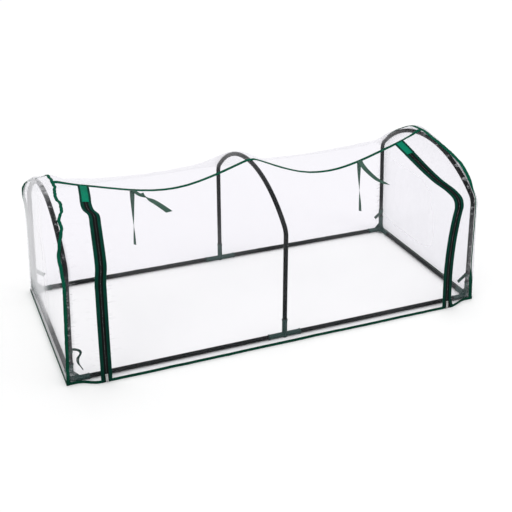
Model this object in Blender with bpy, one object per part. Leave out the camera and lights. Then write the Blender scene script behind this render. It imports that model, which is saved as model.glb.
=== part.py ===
"""Mini tunnel greenhouse: a plug-together tube frame under a loose clear cover with a zipped door."""

import math

import bmesh
import bpy
from mathutils import Matrix, Vector

# Frame, in metres. Lengths and widths run between tube centres.
FRAME_LENGTH = 1.78
FRAME_WIDTH = 0.78
SHOULDER_HEIGHT = 0.468
CROWN_RISE = 0.164
SHOULDER_RADIUS = 0.05
END_LEAN = math.radians(2.6)
RAIL_HEIGHT = 0.0105
TUBE_OD = 0.018
TUBE_WALL = 0.0012
SPIGOT_LENGTH = 0.045
SPIGOT_WALL = 0.0012
JOINT_DROP = 0.012

# Connectors.
SLEEVE_OD = 0.022
SLEEVE_REACH = 0.072
SOCKET_FLOOR = 0.014

# Cover. Film and tape are drawn thicker than they are, so that each is a solid.
FILM = 0.0008
BINDING_WIDTH = 0.012
BINDING_PROUD = 0.0016
HEM_LIFT = 0.0006
RIDGE_SAG_LEFT = 0.086
RIDGE_SAG_RIGHT = 0.110
RIDGE_SAG_POWER = 1.5
RIDGE_SKEW = 0.8
SLOPE_SAG_LEFT = 0.014
SLOPE_SAG_RIGHT = 0.030
SHOULDER_BULGE = 0.02
DOOR_FLARE = 0.042
CORNER_FLARE = 0.010
BACK_FLARE = 0.008
END_FLARE = 0.010
END_BULGE = 0.012
ARCH_ROLL_LEFT = 0.042
ARCH_ROLL_RIGHT = 0.002
ARCH_STRAY_LEFT = 0.016
ARCH_STRAY_RIGHT = 0.030
STRAY_FADE = 0.45
STRAY_POWER = 4
ROLL_START = 0.3
ROLL_END = 0.8
SEAM_WRAP = 0.004
HOOP_SADDLE = 0.012
HOOP_BLEND = 0.15

# Zips, measured from the foot of the end hoop inwards to the line of teeth.
ZIP_FOOT_LEFT = 0.126
ZIP_FOOT_RIGHT = 0.138
ZIP_SHOULDER_LEFT = 0.138
ZIP_SHOULDER_RIGHT = 0.118
ZIP_HEAD_LEFT = 0.178
ZIP_HEAD_RIGHT = 0.163
ZIP_HALF_WIDTH = 0.022
ZIP_TAPE = 0.0016
TEETH_WIDTH = 0.003
TEETH_HEIGHT = 0.0022
TEETH_SLIT = 0.0014
PATCH_LENGTH = 0.12
SLIDER_WIDTH = 0.011
SLIDER_LENGTH = 0.014
SLIDER_REST = 0.030
SLIDER_PLATE = 0.0015
SLIDER_POST = 0.0008
LUG_WIDTH = 0.0036
LUG_LENGTH = 0.004
LUG_HEIGHT = 0.0026
PULL_WIDTH = 0.008
PULL_LENGTH = 0.028
PULL_THICKNESS = 0.0012
PULL_EAR = 0.0010
PULL_TILT = math.radians(6)

# Ties, measured from the foot of the end hoop inwards to the middle of the tape.
TIE_PLACE_LEFT = 0.38
TIE_PLACE_RIGHT = 0.365
TIE_WIDTH = 0.020
TIE_THICKNESS = 0.0012
TIE_DROP = 0.24
OUTER_TIE_FALL_LEFT = 0.20
OUTER_TIE_FALL_RIGHT = 0.23
OUTER_TIE_DRIFT_LEFT = 0.085
OUTER_TIE_DRIFT_RIGHT = 0.03
TIE_LIFT = 0.0014
FRAME_TIE_WIDTH = 0.012
FRAME_TIE_TAIL = 0.045
FRAME_TIE_BEND = 0.018
FRAME_TIE_HEIGHT = 0.12

# Clearances.
GAP = 0.0003
FILM_GAP = 0.0008
SLIDER_GAP = 0.0004

# Facets.
TUBE_SIDES = 12
CROWN_STEPS = 8
BEND_STEPS = 4
WALL_STEPS = 6
BAY_STEPS = 12

# Shape of a hoop, seen from the end: two uprights, two shoulder bends and one crown arc.
HALF_LENGTH = FRAME_LENGTH / 2
HALF_WIDTH = FRAME_WIDTH / 2
TUBE_RADIUS = TUBE_OD / 2
CROWN_RADIUS = (HALF_WIDTH ** 2 + CROWN_RISE ** 2) / (2 * CROWN_RISE)
CROWN_CENTRE = SHOULDER_HEIGHT + CROWN_RISE - CROWN_RADIUS
BEND_Y = HALF_WIDTH - SHOULDER_RADIUS
BEND_Z = CROWN_CENTRE + math.sqrt((CROWN_RADIUS - SHOULDER_RADIUS) ** 2 - BEND_Y ** 2)
BEND_START = math.atan2(BEND_Y, BEND_Z - CROWN_CENTRE)
CROWN_ARC = CROWN_RADIUS * BEND_START
BEND_ARC = SHOULDER_RADIUS * (math.pi / 2 - BEND_START)
ROOF_ARC = CROWN_ARC + BEND_ARC
WALL_TOP = RAIL_HEIGHT + BEND_Z
HEM_ARC = ROOF_ARC + WALL_TOP - HEM_LIFT
FILM_OUT = TUBE_RADIUS + FILM_GAP + FILM / 2
JOINT_HEIGHT = BEND_Z - JOINT_DROP
LEFT, RIGHT = -1, 1
SIDE_NAME = {LEFT: "left", RIGHT: "right"}


def clamp(value):
    return min(1.0, max(0.0, value))


def ease(value):
    value = clamp(value)
    return value * value * (3 - 2 * value)


def profile(arc, out):
    """Point of a hoop's outline at an arc length from the ridge, moved outwards: distance from the
    middle plane and height above the ground."""
    if arc <= CROWN_ARC:
        angle = arc / CROWN_RADIUS
        radius = CROWN_RADIUS + out
        return radius * math.sin(angle), RAIL_HEIGHT + CROWN_CENTRE + radius * math.cos(angle)
    if arc <= ROOF_ARC:
        angle = BEND_START + (arc - CROWN_ARC) / SHOULDER_RADIUS
        radius = SHOULDER_RADIUS + out
        return BEND_Y + radius * math.sin(angle), WALL_TOP + radius * math.cos(angle)
    return HALF_WIDTH + out, WALL_TOP - (arc - ROOF_ARC)


def hoop_x(height):
    """Distance from the middle of the tunnel to an end hoop, which leans inwards."""
    return HALF_LENGTH - math.tan(END_LEAN) * (height - RAIL_HEIGHT)


def flare(height):
    """0 at the foot of the shoulder bend, 1 at the ground."""
    return clamp((WALL_TOP - height) / WALL_TOP)


def end_offset(end, height):
    """How far the end panel stands outside its hoop's centre line, most of all at the shoulders."""
    down = flare(height)
    stray = ARCH_STRAY_LEFT if end == LEFT else ARCH_STRAY_RIGHT
    rise = (height - WALL_TOP) / (RAIL_HEIGHT + SHOULDER_HEIGHT + CROWN_RISE - WALL_TOP)
    stray *= (1 - down) ** STRAY_POWER * (1 - STRAY_FADE * ease(rise))
    return FILM_OUT + END_FLARE * down + END_BULGE * math.sin(math.pi * down) + stray


def arch_seam(end, arc):
    """Where the binding of an end arch lies. Near the crown it has rolled inwards over the hoop."""
    height = profile(abs(arc), FILM_OUT)[1]
    roll = ARCH_ROLL_LEFT if end == LEFT else ARCH_ROLL_RIGHT
    rolled = roll * (1 - ease((abs(arc) / CROWN_ARC - ROLL_START) / (ROLL_END - ROLL_START)))
    inset = SEAM_WRAP + GAP + BINDING_WIDTH / 2 - end_offset(end, height) + rolled
    return end * (hoop_x(height) - inset)


def zip_line(end, arc):
    """Where a zip's teeth lie: straight down the wall, then aslant over the roof."""
    left = end == LEFT
    head = ZIP_HEAD_LEFT if left else ZIP_HEAD_RIGHT
    shoulder = ZIP_SHOULDER_LEFT if left else ZIP_SHOULDER_RIGHT
    foot = ZIP_FOOT_LEFT if left else ZIP_FOOT_RIGHT
    along = abs(arc)
    if along < ROOF_ARC:
        inset = head + (shoulder - head) * along / ROOF_ARC
    else:
        inset = shoulder + (foot - shoulder) * (along - ROOF_ARC) / (HEM_ARC - ROOF_ARC)
    return end * (HALF_LENGTH - inset)


def held_edge(end, arc):
    """How far from the middle the film leaves the end hoop, or its seam where that lies further in."""
    hoop_side = hoop_x(profile(abs(arc), FILM_OUT)[1]) - TUBE_OD
    return min(abs(arch_seam(end, arc)) - BINDING_WIDTH / 2, hoop_side)


def slack(x, arc):
    """How free the film is at a place: 0 where the end arch holds it, 1 from the zip inwards."""
    end = LEFT if x < 0 else RIGHT
    held = held_edge(end, arc)
    free = abs(zip_line(end, arc)) + ZIP_HALF_WIDTH
    return ease((held - abs(x)) / (held - free))


def ridge_sag(x):
    """Drop of the ridge between two hoops."""
    depth = RIDGE_SAG_LEFT if x < 0 else RIDGE_SAG_RIGHT
    end = LEFT if x < 0 else RIGHT
    span = held_edge(end, 0) - HOOP_SADDLE
    place = clamp((abs(x) - HOOP_SADDLE) / span) ** RIDGE_SKEW
    return depth * math.sin(math.pi * place) ** RIDGE_SAG_POWER


def cover(x, arc, out):
    """Point of the cover. arc runs from the ridge down, positive at the front and negative behind."""
    along = abs(arc)
    reach, height = profile(along, FILM_OUT + out)
    free = slack(x, arc)
    bay = free * ease((abs(x) - HOOP_SADDLE) / HOOP_BLEND)
    down = flare(height)
    if along < ROOF_ARC:
        fall = along / ROOF_ARC
        slope_sag = SLOPE_SAG_LEFT if x < 0 else SLOPE_SAG_RIGHT
        height -= ridge_sag(x) * (1 - fall) + slope_sag * bay * 4 * fall * (1 - fall)
        reach += SHOULDER_BULGE * bay * ease(2 * fall - 1)
    else:
        hem = BACK_FLARE if arc < 0 else CORNER_FLARE + (DOOR_FLARE - CORNER_FLARE) * free
        reach += SHOULDER_BULGE * bay * (1 - down) + hem * down
    return Vector((x, -math.copysign(reach, arc), height))


def stations(first, last):
    """Arc lengths that follow the bends of a hoop, between two ends."""
    marks = [CROWN_ARC * i / CROWN_STEPS for i in range(CROWN_STEPS)]
    marks += [CROWN_ARC + BEND_ARC * i / BEND_STEPS for i in range(BEND_STEPS)]
    wall = HEM_ARC - ROOF_ARC
    marks += [ROOF_ARC + wall * i / WALL_STEPS for i in range(WALL_STEPS + 1)]
    marks = sorted({-m for m in marks} | set(marks))
    least = 4 * GAP
    inside = [m for m in marks if first + least < m < last - least]
    return [first] + inside + [last]


def bay_columns(start, stop):
    """Places along the tunnel between two ends, with one pair on the middle hoop's saddle."""
    left = [start + (-HOOP_SADDLE - start) * i / BAY_STEPS for i in range(BAY_STEPS + 1)]
    right = [HOOP_SADDLE + (stop - HOOP_SADDLE) * i / BAY_STEPS for i in range(BAY_STEPS + 1)]
    return left + right


def spread(start, stop, steps):
    return [start + (stop - start) * i / steps for i in range(steps + 1)]


def material(name, colour, roughness, metallic=0.0, alpha=1.0):
    made = bpy.data.materials.new(name)
    made.use_nodes = True
    shader = made.node_tree.nodes["Principled BSDF"]
    shader.inputs["Base Color"].default_value = (*colour, 1.0)
    shader.inputs["Roughness"].default_value = roughness
    shader.inputs["Metallic"].default_value = metallic
    shader.inputs["Alpha"].default_value = alpha
    made.diffuse_color = (*colour, alpha)
    return made


def empty(name, place, parent=None):
    made = bpy.data.objects.new(name, None)
    bpy.context.collection.objects.link(made)
    made.parent = parent
    made.location = place - world_place(parent)
    return made


def world_place(item):
    place = Vector((0, 0, 0))
    while item is not None:
        place = place + item.location
        item = item.parent
    return place


def piece(name, points, faces, finish, parent, origin=None):
    """One sub-part from points in the frame's own coordinates, with its origin at its parent or joint."""
    origin = world_place(parent) if origin is None else origin
    mesh = bpy.data.meshes.new(name)
    mesh.from_pydata([Vector(p) - origin for p in points], [], faces)
    shell = bmesh.new()
    shell.from_mesh(mesh)
    bmesh.ops.recalc_face_normals(shell, faces=shell.faces)
    shell.to_mesh(mesh)
    shell.free()
    mesh.shade_smooth()
    mesh.set_sharp_from_angle(angle=math.radians(40))
    mesh.materials.append(finish)
    made = bpy.data.objects.new(name, mesh)
    bpy.context.collection.objects.link(made)
    made.parent = parent
    made.location = origin - world_place(parent)
    return made


def skin(loops, closed):
    """Quads between one row of points and the next."""
    faces = []
    count = len(loops[0])
    for row in range(len(loops) - 1):
        for i in range(count if closed else count - 1):
            j = (i + 1) % count
            faces.append((row * count + i, row * count + j, (row + 1) * count + j, (row + 1) * count + i))
    return faces


def tube(name, outer, inner, finish, parent):
    """A pipe between rings of points, open at both ends."""
    count = len(outer[0])
    points = [p for ring in outer for p in ring] + [p for ring in inner for p in ring]
    shift = len(outer) * count
    faces = skin(outer, True) + [tuple(i + shift for i in f) for f in skin(inner, True)]
    for a, b in ((0, shift), (shift - count, shift + (len(inner) - 1) * count)):
        faces += [(a + i, a + (i + 1) % count, b + (i + 1) % count, b + i) for i in range(count)]
    return piece(name, points, faces, finish, parent)


def ring(centre, across, other, radius):
    turns = [2 * math.pi * i / TUBE_SIDES for i in range(TUBE_SIDES)]
    return [centre + radius * (math.cos(t) * across + math.sin(t) * other) for t in turns]


def straight_tube(name, start, stop, finish, parent):
    along = (stop - start).normalized()
    across = Vector((0, 0, 1)) if abs(along.z) < 0.5 else Vector((0, 1, 0))
    other = along.cross(across).normalized()
    across = other.cross(along)
    outer = [ring(p, across, other, TUBE_RADIUS) for p in (start, stop)]
    inner = [ring(p, across, other, TUBE_RADIUS - TUBE_WALL) for p in (start, stop)]
    return tube(name, outer, inner, finish, parent)


def sheet(name, columns, rows, low, high, finish, parent, origin=None):
    """A piece of the cover: columns gives the places along the tunnel at each arc length in rows."""
    grid = [columns(arc) for arc in rows]
    top = [cover(x, arc, high) for arc, places in zip(rows, grid) for x in places]
    under = [cover(x, arc, low) for arc, places in zip(rows, grid) for x in places]
    return slab(name, top, under, len(rows), len(grid[0]), finish, parent, origin)


def slab(name, top, under, rows, count, finish, parent, origin=None):
    """A closed solid between two grids of points. Both skins are split along the same diagonals, so that
    they keep their distance."""
    shift = rows * count
    faces = []
    for a, b, c, d in skin([top[r * count:(r + 1) * count] for r in range(rows)], False):
        faces += [(a, b, c), (a, c, d)]
        faces += [(c + shift, b + shift, a + shift), (d + shift, c + shift, a + shift)]
    edge = [i for i in range(count)]
    edge += [r * count + count - 1 for r in range(1, rows)]
    edge += [(rows - 1) * count + i for i in range(count - 2, -1, -1)]
    edge += [r * count for r in range(rows - 2, 0, -1)]
    for a, b in zip(edge, edge[1:] + edge[:1]):
        faces.append((a, b, b + shift, a + shift))
    return piece(name, top + under, faces, finish, parent, origin)


def block(name, centre, axes, size, finish, parent, origin=None):
    """A box along three axes."""
    corners = [centre + sum((axes[k] * (size[k] * s[k] / 2) for k in range(3)), Vector((0, 0, 0)))
               for s in ((-1, -1, -1), (1, -1, -1), (1, 1, -1), (-1, 1, -1),
                         (-1, -1, 1), (1, -1, 1), (1, 1, 1), (-1, 1, 1))]
    faces = [(0, 3, 2, 1), (4, 5, 6, 7), (0, 1, 5, 4), (1, 2, 6, 5), (2, 3, 7, 6), (3, 0, 4, 7)]
    return piece(name, corners, faces, finish, parent, origin)


def combine(target, tool, operation):
    """Apply one Boolean and remove its tool."""
    cut = target.modifiers.new("cut", "BOOLEAN")
    cut.operation = operation
    cut.object = tool
    bpy.context.view_layer.update()
    result = target.evaluated_get(bpy.context.evaluated_depsgraph_get())
    mesh = bpy.data.meshes.new_from_object(result)
    target.modifiers.clear()
    mesh.name = target.name
    target.data = mesh
    bpy.data.objects.remove(tool)


def rod(start, stop, radius, finish, parent):
    """A plain cylinder, used while a connector is put together."""
    along = (stop - start).normalized()
    across = Vector((0, 0, 1)) if abs(along.z) < 0.5 else Vector((0, 1, 0))
    other = along.cross(across).normalized()
    across = other.cross(along)
    rings = [ring(p, across, other, radius) for p in (start, stop)]
    faces = skin(rings, True)
    faces += [tuple(range(TUBE_SIDES)), tuple(range(TUBE_SIDES, 2 * TUBE_SIDES))]
    return piece("rod", rings[0] + rings[1], faces, finish, parent)


def connector(name, centre, arms, finish, parent):
    """Moulded sleeves that meet at one centre, each with a blind socket, flat underneath."""
    body = rod(centre - arms[0] * SLEEVE_OD / 2, centre + arms[0] * SLEEVE_REACH, SLEEVE_OD / 2, finish, parent)
    body.name = name
    for arm in arms[1:]:
        start = centre - arm * SLEEVE_OD / 2 if arm.z < 0.5 else centre
        combine(body, rod(start, centre + arm * SLEEVE_REACH, SLEEVE_OD / 2, finish, parent), "UNION")
    for arm in arms:
        floor = centre + arm * SOCKET_FLOOR
        mouth = centre + arm * (SLEEVE_REACH + SLEEVE_OD)
        combine(body, rod(floor, mouth, TUBE_RADIUS + GAP, finish, parent), "DIFFERENCE")
    axes = (Vector((1, 0, 0)), Vector((0, 1, 0)), Vector((0, 0, 1)))
    under = centre - axes[2] * (RAIL_HEIGHT + SLEEVE_OD)
    size = (4 * SLEEVE_REACH, 4 * SLEEVE_REACH, 2 * SLEEVE_OD)
    combine(body, block("ground", under, axes, size, finish, parent), "DIFFERENCE")
    body.data.shade_smooth()
    body.data.set_sharp_from_angle(angle=math.radians(40))
    return body


# A fresh scene, one root and the finishes.
for old in list(bpy.data.objects):
    bpy.data.objects.remove(old)

BLACK_TUBE = material("black_coated_tube", (0.012, 0.015, 0.017), 0.35)
GREEN_PLASTIC = material("dark_green_plastic", (0.012, 0.052, 0.043), 0.45)
CLEAR_FILM = material("clear_film", (0.90, 0.90, 0.92), 0.12, alpha=0.25)
GREEN_BINDING = material("green_binding", (0.004, 0.100, 0.058), 0.75)
BLACK_ZIP = material("black_zip_tape", (0.012, 0.013, 0.013), 0.8)
ZIP_METAL = material("zip_metal", (0.55, 0.56, 0.57), 0.35, 1.0)
GREEN_TIE = material("green_tie_tape", (0.010, 0.090, 0.060), 0.8)

root = empty("greenhouse", Vector((0, 0, 0)))

# Ground rails: the long ones are split at the middle hoop's tees.
PLUG = SOCKET_FLOOR + GAP
for y, place in ((-HALF_WIDTH, "front"), (HALF_WIDTH, "back")):
    for end in (LEFT, RIGHT):
        inner = Vector((end * PLUG, y, RAIL_HEIGHT))
        outer = Vector((end * (HALF_LENGTH - PLUG), y, RAIL_HEIGHT))
        straight_tube(f"{place}_rail_{SIDE_NAME[end]}", inner, outer, BLACK_TUBE, root)
for end in (LEFT, RIGHT):
    front = Vector((end * HALF_LENGTH, -HALF_WIDTH + PLUG, RAIL_HEIGHT))
    back = Vector((end * HALF_LENGTH, HALF_WIDTH - PLUG, RAIL_HEIGHT))
    straight_tube(f"{SIDE_NAME[end]}_end_rail", front, back, BLACK_TUBE, root)

# Connectors: a corner at each end of the long rails and a tee at each foot of the middle hoop.
for y, place in ((-HALF_WIDTH, "front"), (HALF_WIDTH, "back")):
    inwards = Vector((0, -math.copysign(1, y), 0))
    for end in (LEFT, RIGHT):
        upright = Vector((-end * math.sin(END_LEAN), 0, math.cos(END_LEAN)))
        centre = Vector((end * HALF_LENGTH, y, RAIL_HEIGHT))
        arms = [Vector((-end, 0, 0)), inwards, upright]
        connector(f"corner_connector_{place}_{SIDE_NAME[end]}", centre, arms, GREEN_PLASTIC, root)
    arms = [Vector((1, 0, 0)), Vector((-1, 0, 0)), Vector((0, 0, 1))]
    connector(f"tee_connector_{place}", Vector((0, y, RAIL_HEIGHT)), arms, GREEN_PLASTIC, root)

# Hoops: two uprights and an arch whose spigots plug into them.
UPRIGHT_BORE = TUBE_RADIUS - TUBE_WALL
SPIGOT_RADIUS = UPRIGHT_BORE - GAP
ARCH_BORE = SPIGOT_RADIUS - SPIGOT_WALL
for place, end in (("left", LEFT), ("middle", 0), ("right", RIGHT)):
    lean = Matrix.Rotation(-end * END_LEAN, 3, "Y")
    foot = Vector((end * HALF_LENGTH, 0, RAIL_HEIGHT))
    for y, name in ((-HALF_WIDTH, "front"), (HALF_WIDTH, "back")):
        low = foot + lean @ Vector((0, y, PLUG))
        high = foot + lean @ Vector((0, y, JOINT_HEIGHT - GAP))
        straight_tube(f"{place}_hoop_{name}_upright", low, high, BLACK_TUBE, root)
    joint_arc = ROOF_ARC + JOINT_DROP
    outer = []
    inner = []
    bends = stations(-joint_arc, joint_arc)
    ends = [(bends[0] - SPIGOT_LENGTH, SPIGOT_RADIUS), (bends[0], SPIGOT_RADIUS)]
    ends += [(arc, TUBE_RADIUS) for arc in bends]
    ends += [(bends[-1], SPIGOT_RADIUS), (bends[-1] + SPIGOT_LENGTH, SPIGOT_RADIUS)]
    for arc, radius in ends:
        y, z = profile(abs(arc), 0)
        far_y, far_z = profile(abs(arc), 1)
        side = -math.copysign(1, arc)
        centre = foot + lean @ Vector((0, side * y, z - RAIL_HEIGHT))
        away = lean @ Vector((0, side * (far_y - y), far_z - z))
        other = lean @ Vector((1, 0, 0))
        outer.append(ring(centre, away, other, radius))
        inner.append(ring(centre, away, other, ARCH_BORE))
    tube(f"{place}_hoop_arch", outer, inner, BLACK_TUBE, root)

# The door swings about the ridge, level with the highest part of the ridge seam.
HALF_BINDING = BINDING_WIDTH / 2
FILM_LOW, FILM_HIGH = -FILM / 2, FILM / 2
BINDING_HIGH = FILM_HIGH + BINDING_PROUD
RIDGE_TOP = cover(0, 0, BINDING_HIGH).z
door = empty("door_hinge", Vector((0, 0, RIDGE_TOP)), root)
SEAM_ARC = HALF_BINDING + GAP
FILM_ARC = HEM_ARC - BINDING_WIDTH - GAP
HEM_TOP_ARC = HEM_ARC - BINDING_WIDTH


def arch_edge(end):
    return lambda arc: arch_seam(end, arc) - end * (HALF_BINDING + GAP)


def zip_edge(end, inwards):
    return lambda arc: zip_line(end, arc) - end * inwards * (ZIP_HALF_WIDTH + GAP)


def between(first, second, steps):
    return lambda arc: spread(first(arc), second(arc), steps)


def door_span(arc):
    return bay_columns(zip_edge(LEFT, 1)(arc), zip_edge(RIGHT, 1)(arc))


def back_span(arc):
    """Columns from arch to arch, with one more where the film leaves each end hoop."""
    first, last = arch_edge(LEFT)(arc), arch_edge(RIGHT)(arc)
    start = max(-held_edge(LEFT, arc), first + BINDING_WIDTH)
    stop = min(held_edge(RIGHT, arc), last - BINDING_WIDTH)
    return [first] + bay_columns(start, stop) + [last]


# Sheets of the roof and walls.
sheet("back_sheet", back_span, stations(-FILM_ARC, -SEAM_ARC), FILM_LOW, FILM_HIGH, CLEAR_FILM, root)
sheet("back_hem", back_span, [-HEM_ARC, -HEM_TOP_ARC], FILM_LOW, BINDING_HIGH, GREEN_BINDING, root)
sheet("ridge_binding", back_span, [-HALF_BINDING, HALF_BINDING], FILM_LOW, BINDING_HIGH, GREEN_BINDING, root)
sheet("door_panel", door_span, stations(SEAM_ARC, FILM_ARC), FILM_LOW, FILM_HIGH, CLEAR_FILM, door)
sheet("door_hem", door_span, [HEM_TOP_ARC, HEM_ARC], FILM_LOW, BINDING_HIGH, GREEN_BINDING, door)
STRIP_STEPS = 4
for end in (LEFT, RIGHT):
    span = between(arch_edge(end), zip_edge(end, -1), STRIP_STEPS)
    side = SIDE_NAME[end]
    sheet(f"front_strip_{side}", span, stations(SEAM_ARC, FILM_ARC), FILM_LOW, FILM_HIGH, CLEAR_FILM, root)
    sheet(f"front_strip_hem_{side}", span, [HEM_TOP_ARC, HEM_ARC], FILM_LOW, BINDING_HIGH, GREEN_BINDING, root)

# Bindings of the end arches, from the ground over the crown to the ground.
for end in (LEFT, RIGHT):
    def binding_span(arc, end=end):
        seam = arch_seam(end, arc)
        return [seam - HALF_BINDING, seam + HALF_BINDING]
    rows = stations(-HEM_ARC, HEM_ARC)
    sheet(f"{SIDE_NAME[end]}_arch_binding", binding_span, rows, FILM_LOW, BINDING_HIGH, GREEN_BINDING, root)

# End panels: a flat wall outside the hoop, wrapped over it as far as the arch binding.
COLUMN_ARCS = stations(-ROOF_ARC, ROOF_ARC)
HEM_TOP = HEM_LIFT + BINDING_WIDTH
WALL_LOW = HEM_TOP + GAP


def end_wall_point(end, arc, share, out):
    """share runs from the foot of the panel to the arch."""
    rim = cover(arch_seam(end, arc), arc, 0)
    height = WALL_LOW + (rim.z - WALL_LOW) * share
    hem = BACK_FLARE if arc < 0 else CORNER_FLARE
    reach = abs(rim.y) / (HALF_WIDTH + FILM_OUT)
    y = rim.y + math.copysign(hem * flare(height) * reach, rim.y)
    return Vector((end * (hoop_x(height) + end_offset(end, height) + out), y, height))


for end in (LEFT, RIGHT):
    rows = []
    for share in spread(0, 1, WALL_STEPS):
        rows.append([end_wall_point(end, arc, share, 0) for arc in COLUMN_ARCS])
    count = len(COLUMN_ARCS)
    points = [p for row in rows for p in row]
    faces = skin(rows, False)
    rim = [r * count for r in range(WALL_STEPS + 1)]
    rim += [WALL_STEPS * count + i for i in range(1, count)]
    rim += [r * count + count - 1 for r in range(WALL_STEPS - 1, -1, -1)]
    start = len(points)
    for index in rim:
        corner = points[index]
        points.append(corner - Vector((end * SEAM_WRAP, 0, 0)))
    top_row = range(WALL_STEPS * count, (WALL_STEPS + 1) * count)
    for offset, index in enumerate(rim):
        if index in top_row:
            arc = COLUMN_ARCS[index - WALL_STEPS * count]
            points[start + offset].x = arch_seam(end, arc) + end * (HALF_BINDING + GAP)
    faces += [(rim[i], rim[i + 1], start + i + 1, start + i) for i in range(len(rim) - 1)]
    side = SIDE_NAME[end]
    mesh = bpy.data.meshes.new(f"{side}_end_panel")
    mesh.from_pydata(points, [], faces)
    shell = bmesh.new()
    shell.from_mesh(mesh)
    bmesh.ops.recalc_face_normals(shell, faces=shell.faces)
    wall_face = min(shell.faces, key=lambda f: abs(f.calc_center_median().y))
    if wall_face.normal.x * end < 0:
        bmesh.ops.reverse_faces(shell, faces=shell.faces)
    bmesh.ops.triangulate(shell, faces=shell.faces)
    shell.to_mesh(mesh)
    shell.free()
    mesh.shade_smooth()
    mesh.set_sharp_from_angle(angle=math.radians(40))
    mesh.materials.append(CLEAR_FILM)
    panel = bpy.data.objects.new(f"{side}_end_panel", mesh)
    bpy.context.collection.objects.link(panel)
    panel.parent = root
    thicken = panel.modifiers.new("film", "SOLIDIFY")
    thicken.thickness = FILM
    thicken.offset = 0
    hem_points = {}
    for level, out in (("top", BINDING_PROUD), ("under", FILM_LOW)):
        hem_points[level] = []
        for height in (HEM_LIFT, HEM_TOP):
            for arc in COLUMN_ARCS:
                foot = end_wall_point(end, arc, 0, out)
                foot.x = end * (hoop_x(height) + end_offset(end, height) + out)
                foot.z = height
                hem_points[level].append(foot)
    slab(f"{side}_end_hem", hem_points["top"], hem_points["under"], 2, count, GREEN_BINDING, root)

# Zips. Each row of teeth keeps a slit to the other for the slider's post.
PATCH_ARC = SEAM_ARC + PATCH_LENGTH
ZIP_ARC = PATCH_ARC + GAP
SLIT = TEETH_SLIT / 2
SLIDER_ARC = HEM_ARC + HEM_LIFT - SLIDER_REST
OPEN_ARC = SLIDER_ARC - SLIDER_LENGTH / 2 - SLIDER_GAP
TEETH_HIGH = TEETH_HEIGHT / 2
TAPE_HIGH = ZIP_TAPE / 2


def zip_band(end, near, far):
    """Columns of a band beside a zip's line. Positive distances lie towards the end of the tunnel."""
    return lambda arc: sorted((zip_line(end, arc) + end * near, zip_line(end, arc) + end * far))


for end in (LEFT, RIGHT):
    side = SIDE_NAME[end]
    whole = zip_band(end, -ZIP_HALF_WIDTH, ZIP_HALF_WIDTH)
    sheet(f"zip_patch_{side}", whole, stations(SEAM_ARC, PATCH_ARC), FILM_LOW, BINDING_HIGH, GREEN_BINDING, root)
    for edge, sign, carrier, foot in (("frame", 1, root, HEM_ARC), ("door", -1, door, OPEN_ARC)):
        rows = stations(ZIP_ARC, foot)
        teeth = zip_band(end, sign * SLIT, sign * (SLIT + TEETH_WIDTH))
        tape = zip_band(end, sign * (SLIT + TEETH_WIDTH + GAP), sign * ZIP_HALF_WIDTH)
        sheet(f"zip_teeth_{edge}_{side}", teeth, rows, -TEETH_HIGH, TEETH_HIGH, BLACK_ZIP, carrier)
        sheet(f"zip_tape_{edge}_{side}", tape, rows, -TAPE_HIGH, TAPE_HIGH, BLACK_ZIP, carrier)

    # Slider: two plates joined by a post, with a lug that carries the pull.
    step = SLIDER_LENGTH
    middle = cover(zip_line(end, SLIDER_ARC), SLIDER_ARC, 0)
    above = cover(zip_line(end, SLIDER_ARC - step), SLIDER_ARC - step, 0)
    up = (above - middle).normalized()
    along = Vector((1, 0, 0))
    outwards = along.cross(up).normalized()
    along = up.cross(outwards)
    axes = (along, up, outwards)
    clear = TEETH_HIGH + SLIDER_GAP
    plate_middle = clear + SLIDER_PLATE / 2
    size = (SLIDER_WIDTH, SLIDER_LENGTH, SLIDER_PLATE)
    slider = block(f"zip_slider_{side}", middle + outwards * plate_middle, axes, size, ZIP_METAL, root, middle)
    lower = block("plate", middle - outwards * plate_middle, axes, size, ZIP_METAL, root)
    post_size = (SLIDER_POST, SLIDER_LENGTH * 0.7, 2 * clear + SLIDER_PLATE)
    post = block("post", middle, axes, post_size, ZIP_METAL, root)
    lug_middle = middle + outwards * (clear + (SLIDER_PLATE + LUG_HEIGHT) / 2 + SLIDER_PLATE / 4)
    lug_size = (LUG_WIDTH, LUG_LENGTH, LUG_HEIGHT + SLIDER_PLATE / 2)
    lug = block("lug", lug_middle, axes, lug_size, ZIP_METAL, root)
    for extra in (post, lower, lug):
        combine(slider, extra, "UNION")

    # Pull: a flat tab whose two ears stand either side of the lug.
    pivot = middle + outwards * (clear + SLIDER_PLATE + SLIDER_GAP + PULL_EAR)
    swing = Matrix.Rotation(-PULL_TILT, 3, along)
    pull_axes = (along, swing @ up, swing @ outwards)
    centre = pivot + pull_axes[1] * (PULL_EAR - PULL_LENGTH / 2)
    size = (PULL_WIDTH, PULL_LENGTH, PULL_THICKNESS)
    pull = block(f"zip_pull_{side}", centre, pull_axes, size, ZIP_METAL, root, pivot)
    slot_size = (LUG_WIDTH + 2 * GAP, LUG_LENGTH + 2 * PULL_EAR, 2 * PULL_THICKNESS)
    slot = block("slot", pivot, pull_axes, slot_size, ZIP_METAL, root)
    combine(pull, slot, "DIFFERENCE")



def ridge_underside(x):
    """Height of the flat facets under the ridge binding."""
    places = back_span(HALF_BINDING)
    right = next(i for i, place in enumerate(places) if place >= x)
    ends = [cover(places[i], HALF_BINDING, FILM_LOW) for i in (right - 1, right)]
    share = (x - ends[0].x) / (ends[1].x - ends[0].x)
    return ends[0].z + (ends[1].z - ends[0].z) * share


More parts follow.
